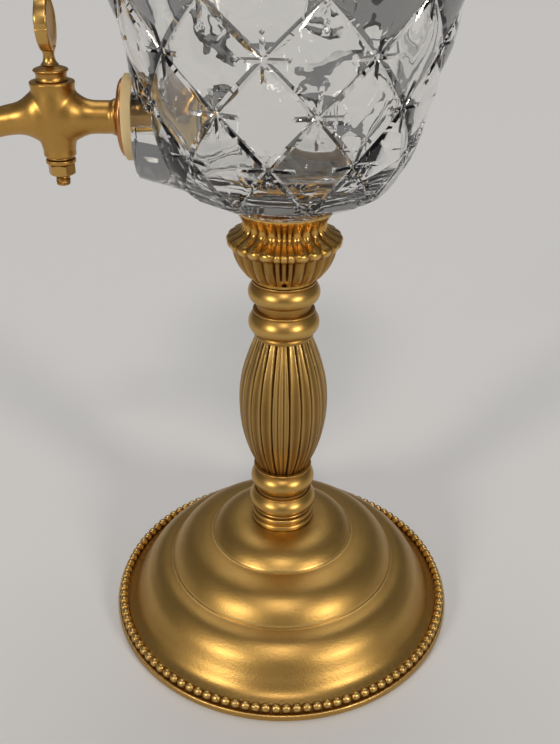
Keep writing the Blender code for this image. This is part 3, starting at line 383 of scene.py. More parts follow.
@dataclass
class PaintShop:
    """The finishes, made once each and shared by every piece that wears them."""

    ready: dict[str, bpy.types.Material] = field(default_factory=dict)
    finishes: dict[str, Finish] = field(default_factory=lambda: {
        "gold": GoldPaint(peel_size=0.9 * MM, peel_depth=0.062 * MM, flake_share=0.30,
                          grain_depth=0.020 * MM),
        "stem_gold": GoldPaint(colour=(0.49, 0.285, 0.070), peel_depth=0.014 * MM, roughness=0.30),
        "rib_gold": GoldPaint(colour=(0.43, 0.245, 0.062), shade=(0.085, 0.034, 0.007),
                              peel_size=0.6 * MM, peel_depth=0.020 * MM, roughness=0.32,
                              flake_share=0.28, grain_depth=0.014 * MM),
        "cup_gold": GoldPaint(colour=(0.60, 0.325, 0.060), shade=(0.14, 0.050, 0.008),
                              peel_depth=0.010 * MM, roughness=0.25),
        "tap_gold": GoldPaint(colour=(0.50, 0.270, 0.060), peel_depth=0.020 * MM, roughness=0.31),
        "flange_gold": GoldPaint(colour=(0.54, 0.235, 0.080), bright=(0.85, 0.50, 0.25),
                                 peel_depth=0.008 * MM, roughness=0.28),
        "crystal": CutCrystal(),
        "steel": PlainFinish((0.62, 0.62, 0.60), (0.45, 0.45, 0.44), 1.0, 0.34, 0.25 * MM, 0.004 * MM),
        "brass": PlainFinish((0.80, 0.58, 0.25), (0.60, 0.38, 0.14), 1.0, 0.30, 0.25 * MM, 0.004 * MM),
        "ivory_rubber": PlainFinish((0.76, 0.58, 0.30), (0.64, 0.45, 0.20), 0.0, 0.50, 0.30 * MM,
                                    0.008 * MM),
        "silicone": PlainFinish((0.80, 0.80, 0.77), (0.70, 0.70, 0.68), 0.0, 0.38, 0.5 * MM, 0.006 * MM,
                                clear=0.35),
        "cement": PlainFinish((0.36, 0.32, 0.22), (0.26, 0.22, 0.14), 0.0, 0.85, 0.7 * MM, 0.10 * MM),
        "ballast": PlainFinish((0.10, 0.10, 0.105), (0.16, 0.11, 0.08), 0.6, 0.66, 0.9 * MM, 0.12 * MM),
        "felt": PlainFinish((0.030, 0.052, 0.036), (0.014, 0.026, 0.018), 0.0, 0.95, 0.35 * MM,
                            0.15 * MM, sheen=0.6)})

    def get(self, name: str) -> bpy.types.Material:
        """The material of that finish."""
        if name not in self.ready:
            self.ready[name] = self.finishes[name].make(name)
        return self.ready[name]


# Curves in the plane of an outline
def through(points: Outline, steps: int) -> np.ndarray:
    """Smooth curve through points: cubic pieces whose slopes come from their neighbours.

    Args:
        points: (radius, height) pairs.
        steps: Number of equal steps along the chords.

    Returns:
        Points of the curve, one more than the steps.
    """
    knots = np.asarray(points, float)
    along = np.concatenate([[0.0], np.cumsum(np.linalg.norm(np.diff(knots, axis=0), axis=1))])
    if len(knots) > 2:
        slope = np.gradient(knots, along, axis=0)
    else:
        slope = np.repeat((knots[1:] - knots[:1]) / along[1], 2, axis=0)
    at = np.linspace(0.0, along[-1], steps + 1)
    left = np.clip(np.searchsorted(along, at, side="right") - 1, 0, len(along) - 2)
    width = (along[left + 1] - along[left])[:, None]
    s = (at - along[left])[:, None] / width
    return ((2 * s**3 - 3 * s**2 + 1) * knots[left] + (s**3 - 2 * s**2 + s) * width * slope[left]
            + (3 * s**2 - 2 * s**3) * knots[left + 1] + (s**3 - s**2) * width * slope[left + 1])


def joined(*runs: np.ndarray) -> np.ndarray:
    """Put runs end to end; a point that two runs share is kept once."""
    kept = [runs[0]]
    for run in runs[1:]:
        same = np.linalg.norm(run[0] - kept[-1][-1]) < MERGE_DISTANCE
        kept.append(run[1:] if same else run)
    return np.vstack(kept)


def rounded(corners: Outline, radii: Union[float, Sequence[float]], steps: int = 4) -> np.ndarray:
    """Closed outline with rounded corners: each corner is a parabola between points on its sides.

    Args:
        corners: Corners of the closed outline.
        radii: Distance from each corner to where its rounding starts.
        steps: Steps in each rounding.

    Returns:
        Points of the closed outline.
    """
    corner = np.asarray(corners, float)
    reach = np.broadcast_to(np.asarray(radii, float), (len(corner),))[:, None]
    before = np.roll(corner, 1, axis=0) - corner
    after = np.roll(corner, -1, axis=0) - corner
    start = corner + before / np.linalg.norm(before, axis=1, keepdims=True) * reach
    end = corner + after / np.linalg.norm(after, axis=1, keepdims=True) * reach
    t = np.linspace(0.0, 1.0, steps + 1)[None, :, None]
    curve = ((1 - t) ** 2 * start[:, None] + 2 * t * (1 - t) * corner[:, None] + t**2 * end[:, None])
    return curve.reshape(-1, 2)


def shared(shares: Outline, radius: float, height: float, bottom: float = 0.0) -> np.ndarray:
    """Turn (share of the radius, share of the height) pairs into lengths."""
    return np.asarray(shares, float) * (radius, height) + (0.0, bottom)


def smooth_runs(runs: Sequence[Outline], steps: Sequence[int], radius: float, low: float,
                high: float) -> np.ndarray:
    """Smooth runs that meet in crisp corners.

    Args:
        runs: Runs of an outline, in shares of the radius and of the way from low to high.
        steps: Steps of each run.
        radius: Largest radius.
        low: Lowest place.
        high: Highest place.

    Returns:
        Points of the outline.
    """
    return joined(*(through(shared(run, radius, high - low, low), count)
                    for run, count in zip(runs, steps)))


def inward(points: np.ndarray, wall: float) -> np.ndarray:
    """Move an outline that runs outwards and down by a wall, square to itself, to its inside."""
    run = np.gradient(points, axis=0)
    run /= np.linalg.norm(run, axis=1, keepdims=True)
    return points + np.stack([run[:, 1], -run[:, 0]], axis=1) * wall


def smoothstep(value: np.ndarray) -> np.ndarray:
    """Ease from 0 to 1: three squares less two cubes."""
    clamped = np.clip(value, 0.0, 1.0)
    return clamped * clamped * (3.0 - 2.0 * clamped)


def bell(value: np.ndarray, middle: float, width: float) -> np.ndarray:
    """One at the middle, falling as e to the minus square of the distance over the width."""
    return np.exp(-((value - middle) / width) ** 2)


# Skins made of grids
class Facing(Enum):
    """Way that a turned piece's own axis points, as the rule that takes its X, Y, Z to the frame's."""

    UP = ((1, 0, 0), (0, 1, 0), (0, 0, 1))
    OUTWARD = ((0, 0, -1), (0, 1, 0), (1, 0, 0))
    INWARD = ((0, 0, 1), (0, 1, 0), (-1, 0, 0))

    def turn(self, points: np.ndarray) -> np.ndarray:
        """Turn points from the piece's own axes to the frame's."""
        return points @ np.asarray(self.value, float).T


def quads(rows: int, columns: int, loop: bool) -> np.ndarray:
    """Faces of a grid whose columns close on themselves, and whose rows do too where loop is true."""
    index = np.arange(rows * columns).reshape(rows, columns)
    upper = index if loop else index[:-1]
    lower = np.roll(index, -1, axis=0) if loop else index[1:]
    return np.stack([upper, np.roll(upper, -1, axis=1), np.roll(lower, -1, axis=1), lower],
                    axis=-1).reshape(-1, 4)


def around_axis(radius: np.ndarray, angle: np.ndarray, height: np.ndarray) -> np.ndarray:
    """Points (r sin a, -r cos a, z) of radii r, angles a and heights z."""
    return np.stack([radius * np.sin(angle), -radius * np.cos(angle), height], axis=-1)


def spots(mesh: bpy.types.Mesh) -> np.ndarray:
    """Places of a mesh's points, one a row."""
    flat = np.empty(len(mesh.vertices) * 3)
    mesh.vertices.foreach_get("co", flat)
    return flat.reshape(-1, 3)


def add_object(name: str, data: bpy.types.ID) -> bpy.types.Object:
    """Put a mesh, a lamp or a camera into the scene."""
    made = bpy.data.objects.new(name, data)
    bpy.context.scene.collection.objects.link(made)
    return made


def close_up(mesh: bpy.types.Mesh) -> None:
    """Merge points that meet, which closes seams and poles, and turn the faces out."""
    bm = bmesh.new()
    bm.from_mesh(mesh)
    bmesh.ops.remove_doubles(bm, verts=bm.verts, dist=MERGE_DISTANCE)
    bmesh.ops.recalc_face_normals(bm, faces=bm.faces)
    bm.to_mesh(mesh)
    bm.free()


def skin(name: str, points: np.ndarray, faces: np.ndarray, crease: float = 32.0,
         fields: Optional[dict[str, np.ndarray]] = None) -> bpy.types.Object:
    """Make a closed mesh whose faces point out.

    Args:
        name: The object's name.
        points: Places of its points.
        faces: Corner numbers of its faces.
        crease: Angle in degrees past which an edge stays sharp.
        fields: Numbers that each point carries.

    Returns:
        The object, at the origin.
    """
    mesh = bpy.data.meshes.new(name)
    mesh.from_pydata(points.reshape(-1, 3), [], faces.tolist())
    for key, values in (fields or {}).items():
        attribute = mesh.attributes.new(key, "FLOAT", "POINT")
        attribute.data.foreach_set("value", values.ravel().astype(np.float32))
    close_up(mesh)
    made = add_object(name, mesh)
    soften(made, crease)
    return made


def soften(made: bpy.types.Object, crease: float) -> None:
    """Shade a mesh smooth, except across edges sharper than a crease in degrees."""
    made.data.shade_smooth()
    made.data.set_sharp_from_angle(angle=math.radians(crease))


def turned(name: str, section: np.ndarray, around: Union[int, np.ndarray], loop: bool = True,
           centre: Place = (0.0, 0.0, 0.0), facing: Facing = Facing.UP,
           carve: Optional[Callable[..., Grids]] = None, crease: float = 32.0) -> bpy.types.Object:
    """Surface of revolution: a point is (r sin a, -r cos a, z) for outline point (r, z) and angle a.

    Args:
        name: The object's name.
        section: Outline; a closed loop, or open with both ends on the axis.
        around: Number of steps round the axis, or the angles themselves.
        loop: Whether the outline is a closed loop.
        centre: Place of the outline's zero.
        facing: Way the axis points.
        carve: Rule that takes radii, heights and angles and gives new radii, heights, painted shade and
            painted highlight.
        crease: Angle in degrees past which an edge stays sharp.

    Returns:
        The object.
    """
    angles = np.arange(around) * FULL_TURN / around if isinstance(around, int) else around
    angle, radius = np.meshgrid(angles, section[:, 0])
    height = np.repeat(section[:, 1:2], len(angles), axis=1)
    painted_shade = np.zeros_like(radius)
    painted_highlight = np.zeros_like(radius)
    if carve:
        radius, height, painted_shade, painted_highlight = carve(radius, height, angle)
    points = facing.turn(around_axis(radius, angle, height)) + np.asarray(centre)
    return skin(name, points, quads(*radius.shape, loop), crease, {"painted_shade": painted_shade, "painted_highlight": painted_highlight})


def flat_ring(node: str, outer: float, inner: float, levels: Span, edge: float, around: int,
              centre: Place = (0.0, 0.0, 0.0), facing: Facing = Facing.UP) -> bpy.types.Object:
    """Flat ring with rounded edges.

    Args:
        node: Solid that it stands for, which gives its name.
        outer: Outer radius.
        inner: Radius of its hole.
        levels: Its lower and upper face, along its axis.
        edge: Size of the rounding.
        around: Steps round the axis.
        centre: Place of the axis's zero.
        facing: Way the axis points.

    Returns:
        The ring.
    """
    low, high = levels
    section = rounded(((outer, high), (outer, low), (inner, low), (inner, high)), edge)
    return turned(node + "_skin", section, around, centre=centre, facing=facing)


def tube(path: np.ndarray, reach: Callable[[np.ndarray, np.ndarray], np.ndarray],
         around: int) -> tuple[np.ndarray, np.ndarray]:
    """Closed tube along a path in the XZ plane.

    A ring's point is path + reach (cos a * Y + sin a * up), where up is square to the path and to Y.

    Args:
        path: Points of the centre line, as X and Z.
        reach: Rule that takes the distance along the path and the angle a and gives the radius.
        around: Steps round the tube.

    Returns:
        Points and faces; the ends close on the centre line.
    """
    run = np.gradient(path, axis=0)
    run /= np.linalg.norm(run, axis=1, keepdims=True)
    along = np.concatenate([[0.0], np.cumsum(np.linalg.norm(np.diff(path, axis=0), axis=1))])
    angle, distance = np.meshgrid(np.arange(around) * FULL_TURN / around, along)
    radius = reach(distance, angle)
    radius[0] = 0.0
    radius[-1] = 0.0
    up = np.stack([-run[:, 1], run[:, 0]], axis=1) * np.where(run[:, :1] < 0.0, -1.0, 1.0)
    lift = radius * np.sin(angle)
    points = np.stack([path[:, :1] + lift * up[:, :1], radius * np.cos(angle),
                       path[:, 1:] + lift * up[:, 1:]], axis=-1)
    return points.reshape(-1, 3), quads(*radius.shape, False)


def bake(made: bpy.types.Object) -> None:
    """Turn an object's modifiers into its mesh."""
    bpy.context.view_layer.update()
    graph = bpy.context.evaluated_depsgraph_get()
    final = bpy.data.meshes.new_from_object(made.evaluated_get(graph), depsgraph=graph)
    made.modifiers.clear()
    made.data = final


def combine(made: bpy.types.Object, tool: bpy.types.Object, operation: str) -> None:
    """Join a solid to another, or cut it away, and remove the tool."""
    step = made.modifiers.new(tool.name, "BOOLEAN")
    step.operation = operation
    step.object = tool
    step.solver = "EXACT"
    bake(made)
    bpy.data.objects.remove(tool, do_unlink=True)


# Where pieces go
@dataclass
class Bench:
    """Facts of the frame, and the place where finished pieces are handed over."""

    frame: dict[str, Any]
    paint: PaintShop = field(default_factory=PaintShop)

    def body_of(self, node: str) -> str:
        """Name of the body that a node rides on."""
        bodies = self.frame["record"]["behaviour"]["bodies"]
        return next(body for body, nodes in bodies.items() if node in nodes)

    def slot_of(self, node: str) -> str:
        """Name of the material slot that a node has in the record."""
        parts = self.frame["record"]["subparts"]
        return next(part["material_slot"] for part in parts if part["node"] == node)

    def joint_place(self, name: str) -> Vector:
        """A point on a joint's axis."""
        joints = self.frame["joints"]
        return Vector(next(joint["pos_m"] for joint in joints if joint["name"] == name))

    def hand_over(self, made: bpy.types.Object, node: str, finish: str) -> None:
        """Dress a new piece, ride it on its node's body and let it stand for the node.

        Args:
            made: The piece.
            node: Solid that it stands for.
            finish: Name of its finish.
        """
        made.data.materials.clear()
        made.data.materials.append(self.paint.get(finish))
        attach(made, self.body_of(node))
        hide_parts(node)
        self.slot_of(node)
        LOG.info("%s stands for %s: %d faces", made.name, node, len(made.data.polygons))

    def hand_over_all(self, pieces: Sequence[tuple[Callable[[], bpy.types.Object], str, str]]) -> None:
        """Build and hand over pieces in order, each given as its method, its node and its finish."""
        for build, node, finish in pieces:
            self.hand_over(build(), node, finish)

    def dress(self, node: str, finish: str) -> None:
        """Give a solid that stays as it is a finish."""
        slots = self.frame["nodes"][node].data.materials
        slots.clear()
        slots.append(self.paint.get(finish))
        LOG.info("%s keeps its own shape", node)

    @staticmethod
    def extent(node: str) -> tuple[float, float, float]:
        """Largest radius about the stem's axis, lowest and highest place of a node."""
        low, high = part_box(node)
        return high.x, low.z, high.z


# The base
@dataclass
class SteppedBase:
    """Spun shell in three tiers with a string of beads in a channel, ballast and felt."""

    bench: Bench
    wall: float = 1.8 * MM
    lip_width: float = 0.8 * MM
    lip_height: float = 2.9 * MM
    lip_edge: float = 0.25 * MM
    channel_depth: float = 0.5 * MM
    channel_wall: float = 1.2 * MM
    # painted shade in the channel and at the steps' feet, painted highlight on the steps' edges
    channel_shade: float = 0.6
    step_shade: float = 0.30
    step_reach: float = 0.002
    shade_place: float = 0.010
    shade_width: float = 0.020
    edge_highlight_place: float = -0.001
    edge_highlight_width: float = 0.0035
    bead_radius: float = 1.8 * MM
    bead_room: float = 0.08 * MM
    bead_count: int = 112
    bead_steps: int = 10
    bead_pinch: float = 0.93
    bead_fullness: float = 2.5
    # painted shade at the beads' waists and painted highlight on their tops
    bead_shade: float = 0.9
    bead_shine: float = 0.6
    waist_start: float = 0.25
    waist_range: float = 0.35
    top_start: float = 0.85
    felt_edge: float = 0.5 * MM
    hole: float = 4.3 * MM
    around: int = 180
    tier_steps: tuple[int, ...] = (26, 26, 30)
    dome: Outline = ((0.204, 1.000), (0.300, 0.982), (0.345, 0.957), (0.380, 0.923), (0.405, 0.886),
                     (0.425, 0.847), (0.4330, 0.830), (0.4345, 0.821))
    middle: Outline = ((0.4345, 0.818), (0.500, 0.801), (0.580, 0.757), (0.645, 0.667), (0.6885, 0.560),
                       (0.6932, 0.545), (0.6940, 0.531))
    outer: Outline = ((0.694, 0.528), (0.775, 0.492), (0.840, 0.402), (0.905, 0.235), (0.955, 0.125),
                      (0.996, 0.087))

    def build(self) -> None:
        """Build every piece of the base."""
        self.bench.hand_over_all(((self.shell, "base_shell", "gold"), (self.beads, "beaded_rim", "gold"),
                                  (self.felt, "felt_pad", "felt")))
        self.bench.dress("base_weight", "ballast")
        for node in ("base_washer", "base_nut", "tie_rod"):
            self.bench.dress(node, "steel")

    def shell(self) -> bpy.types.Object:
        """Shell: three smooth tiers that end in small steps, bead channel, lip, and the inside."""
        radius, foot, crown = self.bench.extent("base_shell")
        channel_out = radius - self.lip_width
        channel_in = channel_out - 2.0 * self.bead_radius
        floor = foot + self.lip_height - self.channel_depth
        tiers = smooth_runs((self.dome, self.middle, self.outer), self.tier_steps, channel_in, foot, crown)
        lip_top = foot + self.lip_height
        under = floor - self.channel_wall
        inside = inward(tiers[::3], self.wall)
        inside[0, 1] = crown - self.wall
        edge = self.lip_edge
        lip = np.array([(channel_in, floor), (channel_out, floor), (channel_out, lip_top - edge),
                        (channel_out + edge, lip_top), (radius - edge, lip_top),
                        (radius, lip_top - edge), (radius, foot + edge), (radius - edge, foot),
                        (radius - self.wall, foot), (radius - self.wall, under),
                        (inside[-1, 0], under)])
        back = np.array([(self.hole, crown - self.wall), (self.hole, crown)])
        section = np.vstack([tiers, lip, inside[::-1], back])
        channel = slice(len(tiers), len(tiers) + 2)
        lip_highlight = slice(len(tiers) + 3, len(tiers) + 5)

        def tint(r: np.ndarray, z: np.ndarray, _a: np.ndarray) -> Grids:
            """Painted shade in the channel and at the foot of each step, painted highlight on the steps'
            edges and the lip's upper edge.
            """
            painted_shade = np.zeros_like(r)
            painted_highlight = np.zeros_like(r)
            for share in (self.dome[-1][0], self.middle[-1][0]):
                away = r[:len(tiers)] / channel_in - share
                shade = self.step_shade * bell(away, self.shade_place, self.shade_width)
                painted_shade[:len(tiers)] += shade * (away > self.step_reach)
                painted_highlight[:len(tiers)] += bell(away, self.edge_highlight_place, self.edge_highlight_width)
            # painted shade on the channel's floor, painted highlight on the lip's upper edge
            painted_shade[channel] = self.channel_shade
            painted_highlight[lip_highlight] = 1.0
            return r, z, painted_shade, painted_highlight

        return turned("base_shell_skin", section, self.around, carve=tint, crease=40.0)

    def beads(self) -> bpy.types.Object:
        """String of beads: an ellipse carried round the channel, drawn in between two beads.

        The ellipse's size at place t of a bead, from -1 to 1, is the square root of one less the
        pinch times the absolute place to the power of the fullness.
        """
        radius, _low, _high = self.bench.extent("base_shell")
        _radius, bottom, top = self.bench.extent("beaded_rim")
        middle = radius - self.lip_width - self.bead_radius
        half_width = self.bead_radius - self.bead_room
        half_height = (top - bottom) / 2.0
        turn = np.linspace(0.0, FULL_TURN, num=12, endpoint=False)
        section = np.stack([np.cos(turn), np.sin(turn)], axis=1)

        def string(x: np.ndarray, z: np.ndarray, a: np.ndarray) -> Grids:
            """Scale the ellipse by the bead's outline at that angle; painted shade at the waists, painted
            highlight on the tops.
            """
            place = (a / FULL_TURN * self.bead_count) % 1.0 * 2.0 - 1.0
            size = np.sqrt(1.0 - self.bead_pinch * np.abs(place) ** self.bead_fullness)
            return (middle + x * half_width * size, bottom + half_height + z * half_height * size,
                    self.bead_shade * (1.0 - smoothstep((size - self.waist_start) / self.waist_range)),
                    self.bead_shine * smoothstep((size - self.top_start) / (1.0 - self.top_start)))

        return turned("beaded_rim_skin", section, self.bead_count * self.bead_steps, carve=string,
                      crease=60.0)

    def felt(self) -> bpy.types.Object:
        """Felt disc with a soft edge."""
        radius, low, high = self.bench.extent("felt_pad")
        flat = radius - self.felt_edge
        section = joined(np.array([(0.0, high), (flat, high)]),
                         through(((flat, high), (radius, (low + high) / 2.0), (flat, low)), steps=6),
                         np.array([(flat, low), (0.0, low)]))
        return turned("felt_pad_skin", section, around=96, loop=False)


# The stem
@dataclass
class Stem:
    """Five turned collars and the ribbed baluster, threaded on the rod."""

    bench: Bench
    hole: float = 4.3 * MM
    around: int = 120
    steps: int = 12
    side_ribs: int = 10
    seam_ribs: int = 3
    seam_turn: float = math.radians(-3.3)
    rib_columns: tuple[int, int] = (8, 14)
    rib_rows: int = 72
    rib_depth: float = 1.15 * MM
    rib_dent: float = 0.30 * MM
    dent_width: float = 1.35
    groove_middle_share: float = 0.20
    groove_end_share: float = 0.50
    middle_depth_share: float = 0.75
    seam_depth_loss: float = 0.50
    seam_shade_loss: float = 0.55
    # painted shade in grooves, dents and at mid-height, painted highlight on the ribs' shoulders
    dent_shade: float = 0.55
    middle_shade: float = 0.15
    end_shade_spread: float = 0.35
    shoulder_place: float = 1.2
    shoulder_width: float = 0.40
    shoulder_shine: Span = (0.50, 0.95)
    # painted shade in corners and on narrow steps, painted highlight on the widest line
    corner_reach: Span = (0.03, 0.035)
    corner_shade: float = 0.8
    step_shade: float = 0.50
    step_span: Span = (0.90, 0.84)
    widest_reach: float = 0.006
    widest_shine: float = 0.35
    baluster: Outline = ((0.610, 1.000), (0.765, 0.880), (0.920, 0.725), (0.993, 0.560), (0.985, 0.410),
                         (0.880, 0.220), (0.735, 0.090), (0.590, 0.000))
    collars: dict[str, tuple[Outline, ...]] = field(default_factory=lambda: {
        "stem_foot": (((0.878, 1.0), (0.928, 0.985), (0.942, 0.925), (0.925, 0.862), (0.863, 0.800)),
                      ((0.863, 0.800), (0.863, 0.725)),
                      ((0.863, 0.725), (0.925, 0.685), (0.950, 0.600), (0.957, 0.290)),
                      ((0.957, 0.290), (0.985, 0.215), (1.000, 0.130), (1.000, 0.000))),
        "lower_collar": (((0.811, 1.0), (0.811, 0.857)),
                         ((0.811, 0.857), (0.860, 0.850), (0.876, 0.818), (0.866, 0.775), (0.850, 0.755)),
                         ((0.850, 0.755), (0.890, 0.680), (0.944, 0.571), (0.988, 0.420), (1.000, 0.280),
                          (0.985, 0.130), (0.909, 0.000))),
        "neck_ring": (((0.890, 1.0), (0.908, 0.978), (0.900, 0.940), (0.860, 0.900)),
                      ((0.860, 0.900), (0.836, 0.860), (0.842, 0.790)),
                      ((0.842, 0.790), (0.915, 0.690), (0.982, 0.530), (1.000, 0.380), (0.965, 0.190),
                       (0.868, 0.025), (0.853, 0.000))),
        "upper_collar": (((0.766, 1.0), (0.766, 0.800)),
                         ((0.766, 0.800), (0.840, 0.792), (0.868, 0.765), (0.862, 0.725), (0.845, 0.710)),
                         ((0.845, 0.710), (0.936, 0.589), (0.993, 0.452), (1.000, 0.363), (0.960, 0.235),
                          (0.865, 0.145), (0.820, 0.125)),
                         ((0.820, 0.125), (0.845, 0.075), (0.837, 0.000))),
        "cup_collar": (((0.872, 1.0), (0.892, 0.985), (0.896, 0.955), (0.880, 0.900), (0.866, 0.860)),
                       ((0.866, 0.860), (0.943, 0.700), (0.993, 0.511), (1.000, 0.367), (0.960, 0.165),
                        (0.823, 0.000)))})

    def build(self) -> None:
        """Build the collars and the baluster."""
        for node, runs in self.collars.items():
            self.bench.hand_over(self.collar(node, runs), node, "stem_gold")
        self.bench.hand_over(self.ribbed_baluster(), "fluted_baluster", "rib_gold")

    def collar(self, node: str, runs: Sequence[Outline]) -> bpy.types.Object:
        """One turned collar: its runs, of which a straight one has two points, and the bore.

        Args:
            node: Solid that gives its size.
            runs: Runs of the outline, top to bottom, in shares of radius and height.

        Returns:
            The collar.
        """
        radius, low, high = self.bench.extent(node)
        steps = [self.steps if len(run) > 2 else 1 for run in runs]
        outside = smooth_runs(runs, steps, radius, low, high)
        section = np.vstack([outside, [(self.hole, low), (self.hole, high)]])
        narrow = np.array([run[-1][0] for run in runs[:-1]])
        corner = np.array([run[-1][1] for run in runs[:-1]])

        def tint(r: np.ndarray, z: np.ndarray, _a: np.ndarray) -> Grids:
            """Painted shade in the corners between two runs and on narrow steps, painted highlight on the
            widest line.
            """
            share, level = r / radius, (z - low) / (high - low)
            start, end = self.step_span
            painted_shade = self.step_shade * smoothstep((start - share) / (start - end))
            across, along = self.corner_reach
            for place, wide in zip(corner, narrow):
                near = bell(level, place, along) * bell(share, wide, across)
                painted_shade = np.maximum(painted_shade, near)
            return (r, z, painted_shade * self.corner_shade,
                    bell(share, 1.0, self.widest_reach) * self.widest_shine)

        return turned(node + "_skin", section, self.around, carve=tint)

    def ribbed_baluster(self) -> bpy.types.Object:
        """Baluster whose ribs are narrow on the casting's two seams and twice as wide elsewhere.

        Across a rib, from 0 to 1, the surface rises from a groove over a share of one unit, stays
        up, and sinks by a small dent in the middle of a wide rib. The grooves are thin at half
        height and open as wedges, with the square of the distance from it, towards both ends, and
        those between two narrow ribs are shallow.
        """
        radius, low, high = self.bench.extent("fluted_baluster")
        angles, place, width = rib_places(self.side_ribs, self.seam_ribs, self.seam_turn,
                                          self.rib_columns)
        outside = through(shared(self.baluster, radius, high - low, low), self.rib_rows)
        section = np.vstack([outside, [(self.hole, low), (self.hole, high)]])
        near = np.minimum(place, 1.0 - place)[None, :]
        seam = self._seam_share(place, width)[None, :]
        dent = smoothstep(1.0 - np.abs(2.0 * place - 1.0) * self.dent_width)
        dent = np.where(width > 1.0, dent, 0.0)[None, :]

        def ribs(r: np.ndarray, z: np.ndarray, _a: np.ndarray) -> Grids:
            """Sink the grooves, all but in the bore."""
            ribbed = r > self.hole + self.rib_depth
            away = ((z - low) / (high - low) * 2.0 - 1.0) ** 2
            opening = self.groove_middle_share + (self.groove_end_share - self.groove_middle_share) * away
            reach = near / (opening / width[None, :])
            depth = self.middle_depth_share + (1.0 - self.middle_depth_share) * away
            sunk = (self.rib_depth * (1.0 - smoothstep(reach)) * depth * (1.0 - self.seam_depth_loss * seam)
                    + self.rib_dent * dent * (1.0 - 0.5 * away))
            # painted shade in the grooves and dents, darker at mid-height, and painted highlight on the
            # ribs' shoulders
            dark = 1.0 - smoothstep(reach * (1.0 - self.end_shade_spread * away))
            dark = dark * (1.0 - self.seam_shade_loss * seam)
            painted_shade = np.maximum(dark, self.dent_shade * dent) + self.middle_shade * (1.0 - away)
            least, most = self.shoulder_shine
            painted_highlight = bell(reach, self.shoulder_place, self.shoulder_width) * (least + (most - least) * away)
            return (r - np.where(ribbed, sunk, 0.0), z, np.where(ribbed, np.minimum(painted_shade, 1.0), 0.0),
                    np.where(ribbed, painted_highlight, 0.0))

        return turned("fluted_baluster_skin", section, angles, carve=ribs, crease=55.0)

    def _seam_share(self, place: np.ndarray, width: np.ndarray) -> np.ndarray:
        """One at grooves with a narrow rib on both sides, zero at the others, for each column."""
        half = self.rib_columns[0] // 2
        wide_before = np.where(place < 0.5, np.roll(width, half), width) > 1.0
        wide_after = np.where(place >= 0.5, np.roll(width, -half), width) > 1.0
        return np.where((width > 1.0) | wide_before | wide_after, 0.0, 1.0)


def rib_places(side: int, seam: int, turn: float,
               steps: tuple[int, int]) -> tuple[np.ndarray, np.ndarray, np.ndarray]:
    """Angles of a casting's ribs: narrow ones on the front and back seams, wide ones between.

    Args:
        side: Number of wide ribs on each side, each of two units.
        seam: Number of narrow ribs on each seam, each of one unit.
        turn: Angle of the front seam's middle.
        steps: Columns in a narrow and in a wide rib.

    Returns:
        The angle of each column, its place across its rib from 0 to 1, and the rib's width in units.
    """
    widths = np.array(([1] * seam + [2] * side) * 2)
    unit = FULL_TURN / widths.sum()
    start = turn - unit * seam / 2.0 + unit * (np.cumsum(widths) - widths)
    count = np.where(widths > 1, steps[1], steps[0])
    rib = np.repeat(np.arange(len(widths)), count)
    within = np.arange(count.sum()) - np.repeat(np.cumsum(count) - count, count)
    place = within / count[rib]
    return start[rib] + place * widths[rib] * unit, place, widths[rib].astype(float)


